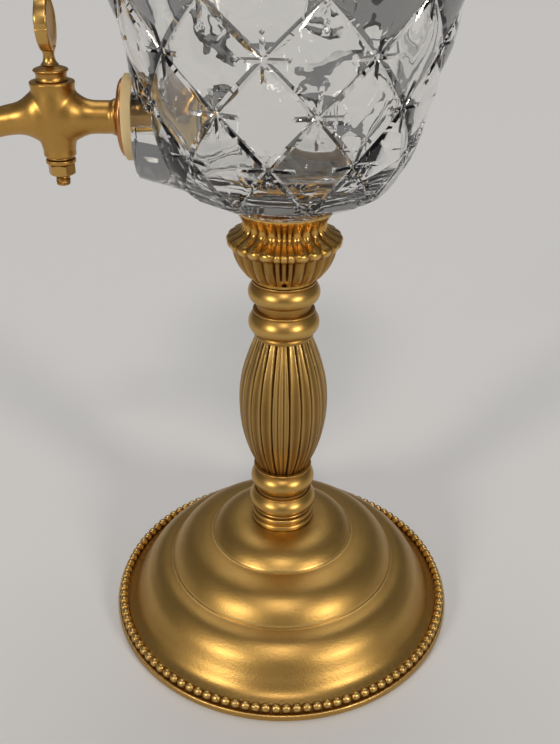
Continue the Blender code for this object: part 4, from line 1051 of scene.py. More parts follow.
@dataclass
class FlutedCup:
    """Cup of rounded flutes with a small vent, and the cement, washer and nut inside it."""

    bench: Bench
    hole: float = 4.3 * MM
    floor: float = 1.8 * MM
    wall: float = 1.9 * MM
    side_flutes: int = 11
    seam_flutes: int = 3
    seam_turn: float = math.radians(-0.6)
    flute_columns: tuple[int, int] = (8, 12)
    flute_depth: float = 1.60 * MM
    lobe_power: float = 2.2
    groove_gain: float = 1.6
    groove_narrowing: float = 1.25
    ridge_level: float = 0.545
    # painted highlights on the ridge, the flutes, the rim and round the vent
    ridge_width: float = 0.040
    ridge_shine: float = 0.7
    flute_shine: float = 0.3
    rim_level: float = 0.975
    rim_shine: float = 0.8
    crease: float = 50.0
    vent_radius: float = 0.95 * MM
    vent_rim: float = 1.8 * MM
    vent_fade: float = 0.4 * MM
    vent_shine: float = 0.4
    vent_height: float = 2.8 * MM
    vent_stretch: float = 1.5
    runs: tuple[Outline, ...] = (
        ((0.850, 1.000), (0.862, 0.998), (0.868, 0.984), (0.852, 0.962)),
        ((0.852, 0.962), (0.775, 0.885), (0.722, 0.790), (0.735, 0.720), (0.800, 0.668), (0.895, 0.628),
         (0.965, 0.600)),
        ((0.965, 0.600), (0.993, 0.577), (1.000, 0.550), (0.992, 0.520), (0.965, 0.490)),
        ((0.965, 0.490), (0.930, 0.475), (0.912, 0.440), (0.880, 0.350), (0.845, 0.280), (0.785, 0.190),
         (0.690, 0.095), (0.625, 0.055), (0.580, 0.040)),
        ((0.580, 0.040), (0.555, 0.035), (0.555, 0.000)))
    run_steps: tuple[int, ...] = (4, 30, 10, 34, 3)
    # painted shade by height: darker over the lower half of the cup
    shades: Outline = ((0.10, 0.3), (0.30, 0.7), (0.48, 0.75), (0.50, 0.0))
    depths: Outline = ((0.00, 0.0), (0.03, 0.1), (0.06, 0.6), (0.30, 0.9), (0.44, 0.9), (0.475, 0.70),
                       (0.50, 0.50), (0.56, 0.42), (0.60, 0.50), (0.65, 0.75), (0.72, 0.95), (0.80, 0.85),
                       (0.90, 0.40), (0.95, 0.20), (1.00, 0.25))
    inside: Outline = ((0.555, 0.063), (0.600, 0.150), (0.760, 0.310), (0.845, 0.450), (0.870, 0.560),
                       (0.655, 0.770), (0.825, 1.000))

    def build(self) -> None:
        """Build the cup and dress what it holds."""
        self.bench.hand_over(self.cup(), "fluted_cup", "cup_gold")
        for node in ("cup_washer", "cup_nut"):
            self.bench.dress(node, "steel")
        self.bench.dress("bowl_cement", "cement")

    def cup(self) -> bpy.types.Object:
        """Cup: the outside sinks between flutes by a depth that changes with height.

        Across a flute the surface sinks by the distance from the flute's middle, from 0 to 1, to
        the lobe's power, and meets the next flute in a groove.
        """
        radius, low, high = self.bench.extent("fluted_cup")
        angles, place, _width = rib_places(self.side_flutes, self.seam_flutes, self.seam_turn,
                                           self.flute_columns)
        lobe = (np.abs(2.0 * place - 1.0) ** self.lobe_power)[None, :]
        outside = smooth_runs(self.runs, self.run_steps, radius, low, high)
        within = shared(self.inside, radius, high - low, low)
        section = np.vstack([outside, [(self.hole, low), (self.hole, low + self.floor)], within])
        levels, depths = np.asarray(self.depths).T
        shade_levels, shades = np.asarray(self.shades).T

        def flutes(r: np.ndarray, z: np.ndarray, a: np.ndarray) -> Grids:
            """Sink the outside by the lobe times the depth at that height, but not round the vent, and paint
            shade and highlights.
            """
            level = (z - low) / (high - low)
            aside = np.where(np.cos(a) > 0.0, r * np.sin(a), radius)
            above = (z - low - self.vent_height) / self.vent_stretch
            vent = 1.0 - smoothstep((np.hypot(aside, above) - self.vent_rim) / self.vent_fade)
            depth = np.interp(level, levels, depths) * self.flute_depth
            depth[len(outside):] = 0.0
            # painted shade in the grooves, darker towards the bottom, and over the whole inside
            deep = np.minimum(depth / self.flute_depth * self.groove_gain, 1.0)
            painted_shade = smoothstep(1.0 - (1.0 - lobe) * self.groove_narrowing) * deep
            painted_shade = np.maximum(painted_shade, np.interp(level, shade_levels, shades)) * (1.0 - vent)
            painted_shade[len(outside):] = 1.0
            # painted highlights on the ridge, the flutes' middles, the rim and round the vent
            ridge = bell(level, self.ridge_level, self.ridge_width) * self.ridge_shine
            highlight_mask = np.maximum(ridge, self.flute_shine * (depth > 0.0)) * (1.0 - lobe) ** 3
            highlight_mask = np.maximum(highlight_mask, self.rim_shine * (level > self.rim_level))
            return r - lobe * depth * (1.0 - vent), z, painted_shade, np.maximum(highlight_mask, vent * self.vent_shine)

        made = turned("fluted_cup_skin", section, angles, carve=flutes, crease=self.crease)
        combine(made, self._vent_drill(radius, low), "DIFFERENCE")
        soften(made, self.crease)
        return made

    def _vent_drill(self, reach: float, low: float) -> bpy.types.Object:
        """Round bar through the cup's front wall, stretched upwards."""
        bar = np.array([(0.0, 0.0), (self.vent_radius, 0.0), (self.vent_radius, reach), (0.0, reach)])
        drill = turned("vent_drill", bar, around=20, loop=False)
        drill.data.transform(Matrix.Translation((0.0, -self.hole - self.wall, low + self.vent_height))
                             @ Matrix.Diagonal((1.0, 1.0, self.vent_stretch, 1.0))
                             @ Matrix.Rotation(math.radians(90.0), 4, "X"))
        return drill


# The bowl
@dataclass
class CrystalBowl:
    """Hand-cut bowl: diagonal mitres, stars where they cross, flat petals below, and a tap boss."""

    bench: Bench
    rim_radius: float = 68.0 * MM
    rim_height: float = 129.7 * MM
    rim_roll: float = 2.0 * MM
    stub_radius: float = 13.6 * MM
    stub_edge: float = 0.6 * MM
    wall: float = 6.0 * MM
    crease: float = 15.0
    columns: int = 10
    row: float = 17.0 * MM
    node_height: float = 59.7 * MM
    node_turn: float = math.radians(-7.1)
    fine: int = 20
    slope: float = 0.83
    mitre_depth: float = 2.55 * MM
    upright_depth: float = 2.75 * MM
    upright_length: float = 10.5 * MM
    level_depth: float = 2.60 * MM
    level_length: float = 10.5 * MM
    cushion: float = 1.95 * MM
    petal_height: float = 25.7 * MM
    petal_side: float = 8.7 * MM
    petal_foot: float = 0.8 * MM
    petal_spare: float = 0.4 * MM
    petal_tip_spare: float = 0.08 * MM
    petal_over: float = 1.0 * MM
    lattice_top: float = 116.0 * MM
    top_fade: float = 2.0 * MM
    foot_plain: float = 0.5 * MM
    foot_fade: float = 3.0 * MM
    first_level: float = 0.25 * MM
    foot_top: float = 9.0 * MM
    foot_rows: int = 30
    foot_split: int = 3
    outline: Outline = ((0.287, 0.000), (0.420, 0.031), (0.540, 0.056), (0.603, 0.085), (0.645, 0.124),
                        (0.693, 0.202), (0.745, 0.291), (0.794, 0.391), (0.815, 0.437), (0.857, 0.536),
                        (0.912, 0.668), (0.963, 0.823), (1.000, 1.000))
    floor_line: Outline = ((0.0, 12.2), (12.0, 12.2), (22.0, 12.9), (30.5, 15.0), (36.0, 18.6),
                           (39.9, 24.0), (42.6, 30.0), (45.0, 38.0))
    boss_radius: float = 18.4 * MM
    boss_drop: float = 2.5 * MM
    boss_lean: float = 0.14
    boss_relief: float = 0.6 * MM
    boss_depth: float = 24.0 * MM
    flat_depth: float = 0.05 * MM
    pad_depth: float = 6.0 * MM
    pad_radius: float = 13.2 * MM
    pad_edge: float = 0.6 * MM
    seat_radius: float = 12.3 * MM
    seat_depth: float = 9.0 * MM
    cut_spare: float = 8.0 * MM
    tail_radius: float = 5.1 * MM

    def build(self) -> None:
        """Build the bowl."""
        self.bench.hand_over(self.bowl(), "glass_bowl", "crystal")

    def outer_radius(self, height: np.ndarray) -> np.ndarray:
        """Plain outer radius at heights above the underside, on a smooth curve."""
        curve = through(shared(self.outline, self.rim_radius, self.rim_height), steps=400)
        return np.interp(height, curve[:, 1], curve[:, 0])

    def inner_line(self) -> np.ndarray:
        """Inside of the bowl, floor to rim, as (radius, height above the underside)."""
        low = np.asarray(self.floor_line) * MM
        levels = np.linspace(low[-1, 1] + 8.0 * MM, self.rim_height - 2.5 * MM, num=7)
        high = np.stack([self.outer_radius(levels) - self.wall, levels], axis=1)
        return through(np.vstack([low, high]), steps=36)

    def cut_depth(self, angle: np.ndarray, height: np.ndarray, radius: np.ndarray) -> np.ndarray:
        """Depth of the cuts at points of the outside.

        Every cut is a V of one slope. A mitre follows each diagonal line. From each crossing two
        upright and two level spokes run out, whose depth falls with the square of the distance.
        Between the mitres the glass swells to a pillow: one less the product of two bumps, one
        across each pair of mitres, each of which is one less the square of the share that is left
        to the pillow's middle.

        Args:
            angle: Angles round the axis.
            height: Heights above the underside.
            radius: Plain outer radii there.

        Returns:
            Depths, below the plain surface.
        """
        pitch = FULL_TURN / self.columns
        column = (angle - self.node_turn) / pitch * 2.0
        row = (height - self.node_height) / self.row
        half = radius * pitch / 2.0
        slant = half * self.row / np.hypot(half, self.row)
        near = [np.abs((d + 1.0) % 2.0 - 1.0) * slant for d in (column + row, column - row)]
        away = np.minimum(*near)
        depth = self.mitre_depth - self.slope * away
        # place from the nearest crossing, in metres across and up
        even = np.round((column + row) / 2.0)
        odd = np.round((column - row) / 2.0)
        across = (column - (even + odd)) * half
        up = (row - (even - odd)) * self.row
        for off, run, deep, reach in ((across, up, self.upright_depth, self.upright_length),
                                      (up, across, self.level_depth, self.level_length)):
            spoke = deep * (1.0 - (run / reach) ** 2) - self.slope * np.abs(off)
            depth = np.maximum(depth, np.where(np.abs(run) < reach, spoke, 0.0))
        bumps = [1.0 - (1.0 - np.clip(n / slant, 0.0, 1.0)) ** 2 for n in near]
        cushion = self.cushion * (1.0 - bumps[0] * bumps[1])
        fade = 1.0 - smoothstep((height - self.lattice_top + self.top_fade) / self.top_fade)
        start = smoothstep((height - self.foot_plain) / self.foot_fade)
        return np.maximum(depth, cushion) * fade * start

    def petals(self, angle: np.ndarray, height: np.ndarray, radius: np.ndarray) -> np.ndarray:
        """Grind flat petals in the lowest diamonds.

        A petal is two planes that meet at the height of its side corners. Each plane passes
        through two points of the plain outline, a little outside it, in the petal's middle, so
        the radius there is (d - h * tan) / cos of the angle from the petal's middle.

        Args:
            angle: Angles round the axis.
            height: Heights above the underside.
            radius: Radii before the petals are ground.

        Returns:
            Radii with the petals.
        """
        pitch = FULL_TURN / self.columns
        middle = self.node_turn + pitch
        off = (angle - middle + pitch / 2.0) % pitch - pitch / 2.0
        side = self.outer_radius(self.petal_side) * math.cos(pitch / 2.0) + self.petal_spare
        top = self.outer_radius(self.petal_height) + self.petal_tip_spare
        foot = self.outer_radius(self.petal_foot) + self.petal_tip_spare
        upper = side + (height - self.petal_side) * (top - side) / (self.petal_height - self.petal_side)
        lower = side + (height - self.petal_side) * (side - foot) / (self.petal_side - self.petal_foot)
        flat = np.minimum(upper, lower) / np.cos(off)
        return np.where(height < self.petal_height + self.petal_over, np.minimum(radius, flat), radius)

    def bowl(self) -> bpy.types.Object:
        """Outside on a grid of lattice steps, each cell split along the nearer mitre's direction.

        Stub and underside lie below that grid, plain band and rolled rim above it, and then the
        inside runs down to the floor.
        """
        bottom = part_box("fluted_cup")[1].z + FIT
        levels = self._levels()
        columns = self.columns * 2 * self.fine
        angle = self.node_turn + np.arange(columns)[None, :] * FULL_TURN / columns
        angle = np.repeat(angle, len(levels), axis=0)
        height = np.repeat(levels[:, None], columns, axis=1)
        radius = np.repeat(self.outer_radius(levels)[:, None], columns, axis=1)
        radius = self.petals(angle, height, radius - self.cut_depth(angle, height, radius))
        foot = self._foot(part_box("glass_bowl")[0].z - bottom)
        upper = np.vstack([self._band_and_rim(levels[-1]), self.inner_line()[::-1]])
        points = np.vstack([self._rows(foot, columns, bottom), around_axis(radius, angle, height + bottom),
                            self._rows(upper, columns, bottom)])
        heights = np.concatenate([foot[:, 1], levels, upper[:, 1]])
        made = skin("glass_bowl_skin", points, self._split(heights, columns), self.crease)
        self._add_boss(made, bottom)
        soften(made, self.crease)
        return made

    def _levels(self) -> np.ndarray:
        """Heights of the grid's rows: fine ones at the foot, then steps of the lattice."""
        step = self.row / self.fine
        first = math.ceil((self.foot_top - self.node_height) / step)
        last = math.floor((self.lattice_top - self.node_height) / step)
        split_first = first * self.foot_split
        foot = np.arange(split_first - self.foot_rows, split_first) / self.foot_split
        levels = self.node_height + np.concatenate([foot, np.arange(first, last + 1)]) * step
        return levels[levels > self.first_level]

    def _foot(self, stub_low: float) -> np.ndarray:
        """Outline of stub and underside, from the axis out to the bowl's foot."""
        edge = self.stub_edge
        return np.array([(0.0, stub_low), (self.stub_radius - edge, stub_low),
                         (self.stub_radius, stub_low + edge), (self.stub_radius, -0.2 * MM),
                         (self.stub_radius + 1.0 * MM, 0.0), (self.rim_radius * self.outline[0][0], 0.0)])

    def _band_and_rim(self, start: float) -> np.ndarray:
        """Outline of the plain band above a level, and half a turn of the rim's roll."""
        roll_level = self.rim_height - self.rim_roll
        levels = np.linspace(start + 1.5 * MM, roll_level, num=5)
        band = np.stack([self.outer_radius(levels), levels], axis=1)
        half = self.wall / 2.0
        turn = np.linspace(0.0, math.pi, num=9)
        rim = np.stack([self.rim_radius - half + half * np.cos(turn),
                        roll_level + self.rim_roll * np.sin(turn)], axis=1)
        return np.vstack([band, rim])

    def _rows(self, line: np.ndarray, columns: int, bottom: float) -> np.ndarray:
        """Rows of points of an outline carried round the axis."""
        angle = self.node_turn + np.arange(columns) * FULL_TURN / columns
        return around_axis(line[:, :1], angle, np.repeat(line[:, 1:] + bottom, columns, axis=1))

    def _split(self, heights: np.ndarray, columns: int) -> np.ndarray:
        """Triangles of the grid: a cell nearer to a rising mitre is split upwards, others downwards.

        Args:
            heights: Height of each row above the underside.
            columns: Number of columns.

        Returns:
            Corner numbers.
        """
        index = np.arange(len(heights) * columns).reshape(len(heights), columns)
        a, b = index[:-1], index[1:]
        a_next, b_next = np.roll(a, -1, axis=1), np.roll(b, -1, axis=1)
        row = ((heights[:-1] + heights[1:]) / 2.0 - self.node_height)[:, None] / self.row
        column = (np.arange(columns)[None, :] + 0.5) / self.fine
        falling = np.abs((column + row + 1.0) % 2.0 - 1.0)
        rising = np.abs((column - row + 1.0) % 2.0 - 1.0)
        up = rising < falling
        first = np.stack([a, a_next, np.where(up, b_next, b)], axis=-1)
        second = np.stack([b, np.where(up, a, a_next), b_next], axis=-1)
        return np.concatenate([first.reshape(-1, 3), second.reshape(-1, 3)])

    def _add_boss(self, made: bpy.types.Object, bottom: float) -> None:
        """Grind a flat for the gasket, add the boss and the seat inside, and bore the tail's hole."""
        face = -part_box("outer_gasket")[1].x - FIT
        seat = -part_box("inner_gasket")[0].x + FIT
        tap_z = self.bench.joint_place("tap_turn").z
        far = self.rim_radius + self.cut_spare
        flat = face - self.flat_depth
        edge = self.boss_radius + self.boss_relief
        notch = ((0.0, flat), (edge, flat), (edge, far), (0.0, far))
        combine(made, self._plug("gasket_flat", notch, 96, tap_z - self.boss_drop), "DIFFERENCE")
        boss = self._chin(face, tap_z - self.boss_drop)
        combine(boss, self._room(bottom), "DIFFERENCE")
        back = face - self.pad_depth
        wide, edge = self.pad_radius, self.pad_edge
        pad = ((0.0, back), (wide, back), (wide, seat + edge), (wide - edge, seat), (0.0, seat))
        combine(boss, self._plug("seat_pad", pad, 72, tap_z), "UNION")
        combine(made, boss, "UNION")
        end = seat - self.seat_depth
        cutter = ((0.0, end), (self.seat_radius, end), (self.seat_radius, seat), (self.tail_radius, seat),
                  (self.tail_radius, far), (0.0, far))
        combine(made, self._plug("seat_cutter", cutter, 72, tap_z), "DIFFERENCE")

    @staticmethod
    def _plug(name: str, outline: Outline, around: int, height: float) -> bpy.types.Object:
        """Turned solid on a level axis through the stem's axis, pointing at the tap."""
        return turned(name, np.array(outline), around, loop=False, facing=Facing.OUTWARD,
                      centre=(0.0, 0.0, height))

    def _chin(self, face: float, height: float) -> bpy.types.Object:
        """Boss below the gasket: a skew cone whose circle sinks as it grows.

        Its centre sinks and its radius grows by the same share of the depth, so its top stays
        level and its chin slants down to the bowl.

        Args:
            face: Distance of its flat face from the stem's axis.
            height: Height of its circle's centre at the face.

        Returns:
            The boss.
        """
        radius, lean = self.boss_radius, self.boss_lean
        near = face - self.boss_depth
        boss = self._plug("boss_chin", ((0.0, near), (radius + self.boss_depth * lean, near),
                                        (radius + 0.7 * MM * lean, face - 0.7 * MM),
                                        (radius - 0.15 * MM, face - 0.2 * MM), (radius - 0.7 * MM, face),
                                        (0.0, face)), 96, height)
        places = spots(boss.data)
        places[:, 2] -= (places[:, 0] + face) * lean
        boss.data.vertices.foreach_set("co", places.ravel())
        return boss

    def _room(self, bottom: float) -> bpy.types.Object:
        """The bowl's room as a solid, a little larger, which keeps the boss out of it."""
        spare = 0.08 * MM
        inside = self.inner_line() + (spare, bottom - spare)
        outline = np.vstack([[(0.0, inside[0, 1])], inside[1:], [(0.0, inside[-1, 1])]])
        return turned("bowl_room", outline, around=200, loop=False)


# The tap
@dataclass
class TapMounting:
    """What holds the tap in the glass: gaskets and flange outside, washer and nut inside."""

    bench: Bench
    hole: float = 5.1 * MM
    around: int = 96
    flange_line: Outline = ((1.000, 0.00), (1.000, 0.35), (0.955, 0.62), (0.780, 0.88), (0.660, 1.00))

    def build(self) -> None:
        """Build the five pieces on the tap's tail."""
        self.bench.hand_over_all((
            (lambda: self.ring("outer_gasket", Facing.OUTWARD, 0.2 * MM), "outer_gasket", "ivory_rubber"),
            (self.flange, "tap_flange", "flange_gold"),
            (lambda: self.ring("inner_gasket", Facing.INWARD, 0.4 * MM), "inner_gasket", "ivory_rubber"),
            (lambda: self.ring("inner_washer", Facing.INWARD, 0.2 * MM), "inner_washer", "steel"),
            (self.locknut, "tap_locknut", "brass")))

    def span(self, node: str, facing: Facing) -> tuple[float, float, float]:
        """Radius of a ring on the tail, its start and its thickness, along the way it faces."""
        low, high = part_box(node)
        start = -high.x if facing is Facing.OUTWARD else low.x
        return high.y, start, high.x - low.x

    def centre(self) -> Place:
        """A point of the stem's axis at the height of the tap."""
        return 0.0, 0.0, self.bench.joint_place("tap_turn").z

    def ring(self, node: str, facing: Facing, edge: float) -> bpy.types.Object:
        """Flat ring on the tail with rounded edges, of the size of a node."""
        radius, start, thick = self.span(node, facing)
        return flat_ring(node, radius, self.hole, (start, start + thick), edge, self.around,
                         self.centre(), facing)

    def flange(self) -> bpy.types.Object:
        """Spun flange: a flat rim that rolls over to a shallow cone towards the shank."""
        radius, start, thick = self.span("tap_flange", Facing.OUTWARD)
        outside = through(shared(self.flange_line, radius, thick, start), steps=18)
        section = np.vstack([[(self.hole, start)], outside, [(self.hole, start + thick)]])
        return turned("tap_flange_skin", section, self.around, centre=self.centre(),
                      facing=Facing.OUTWARD, crease=50.0)

    def locknut(self) -> bpy.types.Object:
        """Hexagon nut inside the bowl."""
        low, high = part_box("tap_locknut")
        return hexagon_nut("tap_locknut_skin", high.z - low.z, high.x - low.x, self.hole,
                           (low.x, 0.0, self.centre()[2]), Facing.INWARD)


def hexagon_nut(name: str, flats: float, height: float, bore: float, centre: Place,
                facing: Facing = Facing.UP, turn: float = 0.0) -> bpy.types.Object:
    """Hexagon nut whose corners are turned off by a 30 degree cone at both faces.

    The outside's radius at angle a is half the flats over the cosine of a's distance from the
    middle of its flat; the height falls by tan 30 times what that radius exceeds the face's circle.

    Args:
        name: The object's name.
        flats: Distance between opposite flats.
        height: Height of the nut.
        bore: Radius of its hole.
        centre: Place of its lower face.
        facing: Way that its axis points.
        turn: Angle of a corner from the front.

    Returns:
        The nut.
    """
    circle_share = 0.96
    circle = flats / 2.0 * circle_share
    chamfer = 0.25 * MM
    section = np.array([(bore + chamfer, height), (circle, height), (-1.0, height), (-1.0, 0.0),
                        (circle, 0.0), (bore + chamfer, 0.0), (bore, chamfer), (bore, height - chamfer)])

    def sides(r: np.ndarray, z: np.ndarray, a: np.ndarray) -> Grids:
        """Put the marked rows on the hexagon and lower them to the cone, with a painted highlight on the
        flats.
        """
        sixth = FULL_TURN / 6.0
        hexed = flats / 2.0 / np.cos(((a - turn) % sixth) - sixth / 2.0)
        marked = r < 0.0
        drop = np.where(marked, (hexed - circle) * math.tan(math.radians(30.0)), 0.0)
        z = np.where(z > height / 2.0, z - drop, z + drop)
        return np.where(marked, hexed, r), z, np.zeros_like(r), np.where(marked, 0.3, 0.0)

    return turned(name, section, around=72, centre=centre, facing=facing, carve=sides, crease=20.0)


@dataclass
class Tap:
    """Cast plug tap: body with spout, and the key that turns in it."""

    bench: Bench
    voxel: float = 0.40 * MM
    smoothing: int = 7
    blending: int = 36
    blend_reach: Span = (15.0 * MM, 9.4 * MM)
    bore: float = 2.1 * MM
    seat_top: float = 5.3 * MM
    seat_bottom: float = 3.9 * MM
    plug_top: float = 5.0 * MM
    plug_bottom: float = 3.6 * MM
    stud_radius: float = 2.6 * MM
    stud_tip: float = 2.2 * MM
    stud_hole: float = 2.9 * MM
    thread_pitch: float = 0.6 * MM
    thread_depth: float = 0.30 * MM
    thread_rows: int = 40
    thread_shade: float = 0.8
    pin_radius: float = 1.1 * MM
    pin_hole: float = 1.4 * MM
    nut_turn: float = math.radians(28.0)
    barrel_top: float = 12.4 * MM
    barrel_bottom: float = 13.5 * MM
    barrel_radius: float = 7.5 * MM
    barrel_around: int = 64
    spout_reach: float = 40.0 * MM
    spout_drop: float = 26.0 * MM
    barrel: tuple[Outline, ...] = (
        ((0.00, 1.000), (0.96, 1.000)),
        ((0.96, 1.000), (1.025, 0.994), (1.045, 0.972), (1.035, 0.948), (1.005, 0.930)),
        ((1.005, 0.930), (1.000, 0.900), (1.015, 0.840), (1.050, 0.730), (1.070, 0.600), (1.020, 0.420),
         (0.890, 0.260), (0.790, 0.130), (0.750, 0.070)),
        ((0.750, 0.070), (0.765, 0.055), (0.765, 0.000), (0.0, 0.000)))
    spout_line: Outline = ((0.000, 0.000), (0.150, 0.000), (0.300, 0.022), (0.470, 0.065), (0.620, 0.140),
                           (0.760, 0.270), (0.880, 0.460), (0.965, 0.720), (1.000, 1.000))
    overlap: float = 5.0 * MM
    spout_sizes: Outline = ((-5.0, 5.2), (0.0, 5.7), (7.0, 5.9), (10.0, 5.8), (14.0, 5.4), (20.0, 5.00),
                            (30.0, 4.65), (44.0, 4.25), (48.6, 4.12), (49.3, 4.36), (60.0, 4.36))
    shank_sizes: Outline = ((-5.0, 5.2), (0.0, 5.7), (19.4, 5.70), (20.0, 5.75), (20.4, 6.35), (22.15, 6.40),
                            (22.3, 4.8), (60.0, 4.8))
    arm_around: int = 40
    flare_over: tuple[float, float, float] = (3.6, 5.5, 4.2)
    flare_under: tuple[float, float, float] = (2.6, 5.5, 4.2)
    flare_aside: tuple[float, float, float] = (1.9, 4.5, 4.4)
    cap: Outline = ((0.500, 1.0), (0.580, 0.950), (0.740, 0.880), (0.900, 0.800), (0.975, 0.745),
                    (1.000, 0.665), (0.975, 0.590), (0.915, 0.545))
    cap_skirt: Outline = ((0.915, 0.545), (0.900, 0.500), (0.900, 0.060), (0.925, 0.0))
    neck_height: float = 4.4 * MM
    neck_root: float = 3.0 * MM
    neck_line: Outline = ((3.05, 0.0), (2.35, 0.9), (1.95, 2.2), (1.95, 3.6), (2.80, 5.8))
    pin_depth: float = 4.1 * MM
    plate_edge: float = 0.9 * MM
    plate_middle: float = 0.56
    plate_highlight_width: float = 0.05
    plate_shine: float = 0.4
    plate_lower: Outline = ((0.0, 0.000), (0.22, 0.000), (0.36, 0.012), (0.56, 0.055), (0.745, 0.107),
                            (0.865, 0.175), (0.945, 0.240), (0.950, 0.254), (0.905, 0.270))
    plate_upper: Outline = ((0.905, 0.292), (0.950, 0.308), (0.945, 0.328), (0.890, 0.392), (0.750, 0.455),
                            (0.535, 0.525), (0.440, 0.590), (0.610, 0.655), (0.850, 0.740), (0.930, 0.834),
                            (0.790, 0.915), (0.470, 0.975), (0.220, 0.998), (0.0, 1.000))
    plate_dish: Outline = ((0.0, 0.72), (0.30, 0.72), (0.60, 0.74), (0.74, 0.86), (0.80, 0.97))

    def __post_init__(self) -> None:
        """Read the joint's place."""
        place = self.bench.joint_place("tap_turn")
        self.axis_x = place.x
        self.tap_z = place.z
        self.centre = (place.x, 0.0, 0.0)

    def build(self) -> None:
        """Build the body and every piece of the key."""
        self.bench.hand_over_all(tuple((build, node, "tap_gold") for build, node in (
            (self.body, "tap_body"), (self.plug, "tap_plug"), (self.handle, "tap_handle"),
            (self.spring_washer, "plug_spring_washer"), (self.washer, "plug_washer"),
            (self.plug_nut, "plug_nut"))))

    def body(self) -> bpy.types.Object:
        """Casting: barrel, shank and spout overlap, are remeshed as one skin and softened.

        The arms start past the barrel's axis and flare where they leave it, more on top than
        below, which makes the wide fillets; then the plug's seat and the waterway are bored.
        """
        tail_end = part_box("tap_body")[1].x
        shank = np.linspace((self.axis_x - self.overlap, self.tap_z), (tail_end, self.tap_z), num=130)
        spout = through([(self.axis_x - x * self.spout_reach, self.tap_z - z * self.spout_drop)
                         for x, z in self.spout_line], steps=90)
        back = np.linspace((self.axis_x + self.overlap, self.tap_z), (self.axis_x, self.tap_z), num=8)[:-1]
        made = self._one_skin([
            self._barrel(), tube(shank, self._flare(self.shank_sizes), self.arm_around),
            tube(np.vstack([back, spout]), self._flare(self.spout_sizes), self.arm_around)])
        self._blend_arms(made)
        self._bore(made, spout, tail_end)
        self._tint(made)
        soften(made, 40.0)
        return made

    def _barrel(self) -> tuple[np.ndarray, np.ndarray]:
        """Points and faces of the barrel, with its lip and its tapered lower end."""
        length = self.barrel_top + self.barrel_bottom
        base = self.tap_z - self.barrel_bottom
        runs = [through(shared(run, self.barrel_radius, length, base), 2 if len(run) < 3 else 16)
                for run in self.barrel[:-1]]
        section = joined(*runs, shared(self.barrel[-1], self.barrel_radius, length, base))
        around = self.barrel_around
        angle, radius = np.meshgrid(np.arange(around) * FULL_TURN / around, section[:, 0])
        points = around_axis(radius, angle, np.repeat(section[:, 1:], around, axis=1)) + self.centre
        return points.reshape(-1, 3), quads(*radius.shape, False)

    def _one_skin(self, parts: Sequence[tuple[np.ndarray, np.ndarray]]) -> bpy.types.Object:
        """Put overlapping parts in one mesh and remesh it as one skin.

        Args:
            parts: Points and faces of each closed part.

        Returns:
            The casting in the rough.
        """
        first = np.cumsum([0] + [len(points) for points, _faces in parts[:-1]])
        corners = np.vstack([faces + start for (_points, faces), start in zip(parts, first)])
        mesh = bpy.data.meshes.new("tap_body_skin")
        mesh.from_pydata(np.vstack([points for points, _faces in parts]), [], corners.tolist())
        close_up(mesh)
        made = add_object("tap_body_skin", mesh)
        shrink = made.modifiers.new("one_skin", "REMESH")
        shrink.mode = "VOXEL"
        shrink.voxel_size = self.voxel
        bake(made)
        return made

    def _blend_arms(self, made: bpy.types.Object) -> None:
        """Soften the whole casting a little, and much more where the arms leave the barrel."""
        away = np.abs(spots(made.data) - (self.axis_x, 0.0, self.tap_z))
        middle = (away[:, 2] < self.blend_reach[1]) & (away[:, 0] < self.blend_reach[0])
        group = made.vertex_groups.new(name="arm_roots")
        group.add(np.flatnonzero(middle).tolist(), 1.0, "REPLACE")
        for name, times, zone in (("blend_arms", self.blending, "arm_roots"),
                                  ("soften", self.smoothing, "")):
            ease = made.modifiers.new(name, "SMOOTH")
            ease.factor = 0.5
            ease.iterations = times
            ease.vertex_group = zone
        bake(made)

    def _flare(self, sizes: Outline) -> Callable[[np.ndarray, np.ndarray], np.ndarray]:
        """Radius rule of an arm that flares at the barrel.

        The arm's own radius grows by a height that stays up to a start and then falls like a bell:
        over or under the arm times sin a squared, and aside of it times cos a squared.

        Args:
            sizes: (distance from the barrel's axis, radius) pairs in millimetres.

        Returns:
            The rule.
        """
        table = np.asarray(sizes).T * MM

        def growth(away: np.ndarray, flare: tuple[float, float, float]) -> np.ndarray:
            """A flare's height at distances from the barrel's axis."""
            height, start, width = flare
            return height * MM * bell(np.maximum(away - start * MM, 0.0), 0.0, width * MM)

        def reach(distance: np.ndarray, angle: np.ndarray) -> np.ndarray:
            """Radius at a distance along the path and an angle."""
            away = distance - self.overlap
            rise = np.sin(angle)
            upright = np.where(rise > 0.0, growth(away, self.flare_over), growth(away, self.flare_under))
            aside = growth(away, self.flare_aside)
            return (np.interp(away, table[0], table[1]) + upright * rise**2
                    + aside * np.cos(angle) ** 2)

        return reach

    def _bore(self, made: bpy.types.Object, line: np.ndarray, tail_end: float) -> None:
        """Ream the plug's tapered seat and bore the waterway from the tail to the spout's mouth."""
        over = 2.0 * MM
        top = self.tap_z + self.barrel_top + over
        bottom = self.tap_z - self.barrel_bottom - over
        seat = np.array([(0.0, top), (self.seat_top, top), (self.seat_bottom, bottom), (0.0, bottom)])
        reamer = turned("seat_reamer", seat, around=48, loop=False, centre=self.centre)
        combine(made, reamer, "DIFFERENCE")
        ahead = line[-1] + (line[-1] - line[-2]) / np.linalg.norm(line[-1] - line[-2]) * over
        route = np.vstack([[(tail_end + over, self.tap_z)], line[::4], [ahead]])
        route = np.vstack([route[:1] + (route[:1] - route[1:2]) * 0.001, route])
        drill = tube(route, lambda distance, _angle: np.full_like(distance, self.bore), around=24)
        combine(made, skin("waterway_drill", *drill), "DIFFERENCE")

    @staticmethod
    def _tint(made: bpy.types.Object) -> None:
        """Give the casting the fields that its paint reads, all plain."""
        for key in ("painted_shade", "painted_highlight"):
            if key not in made.data.attributes:
                made.data.attributes.new(key, "FLOAT", "POINT")

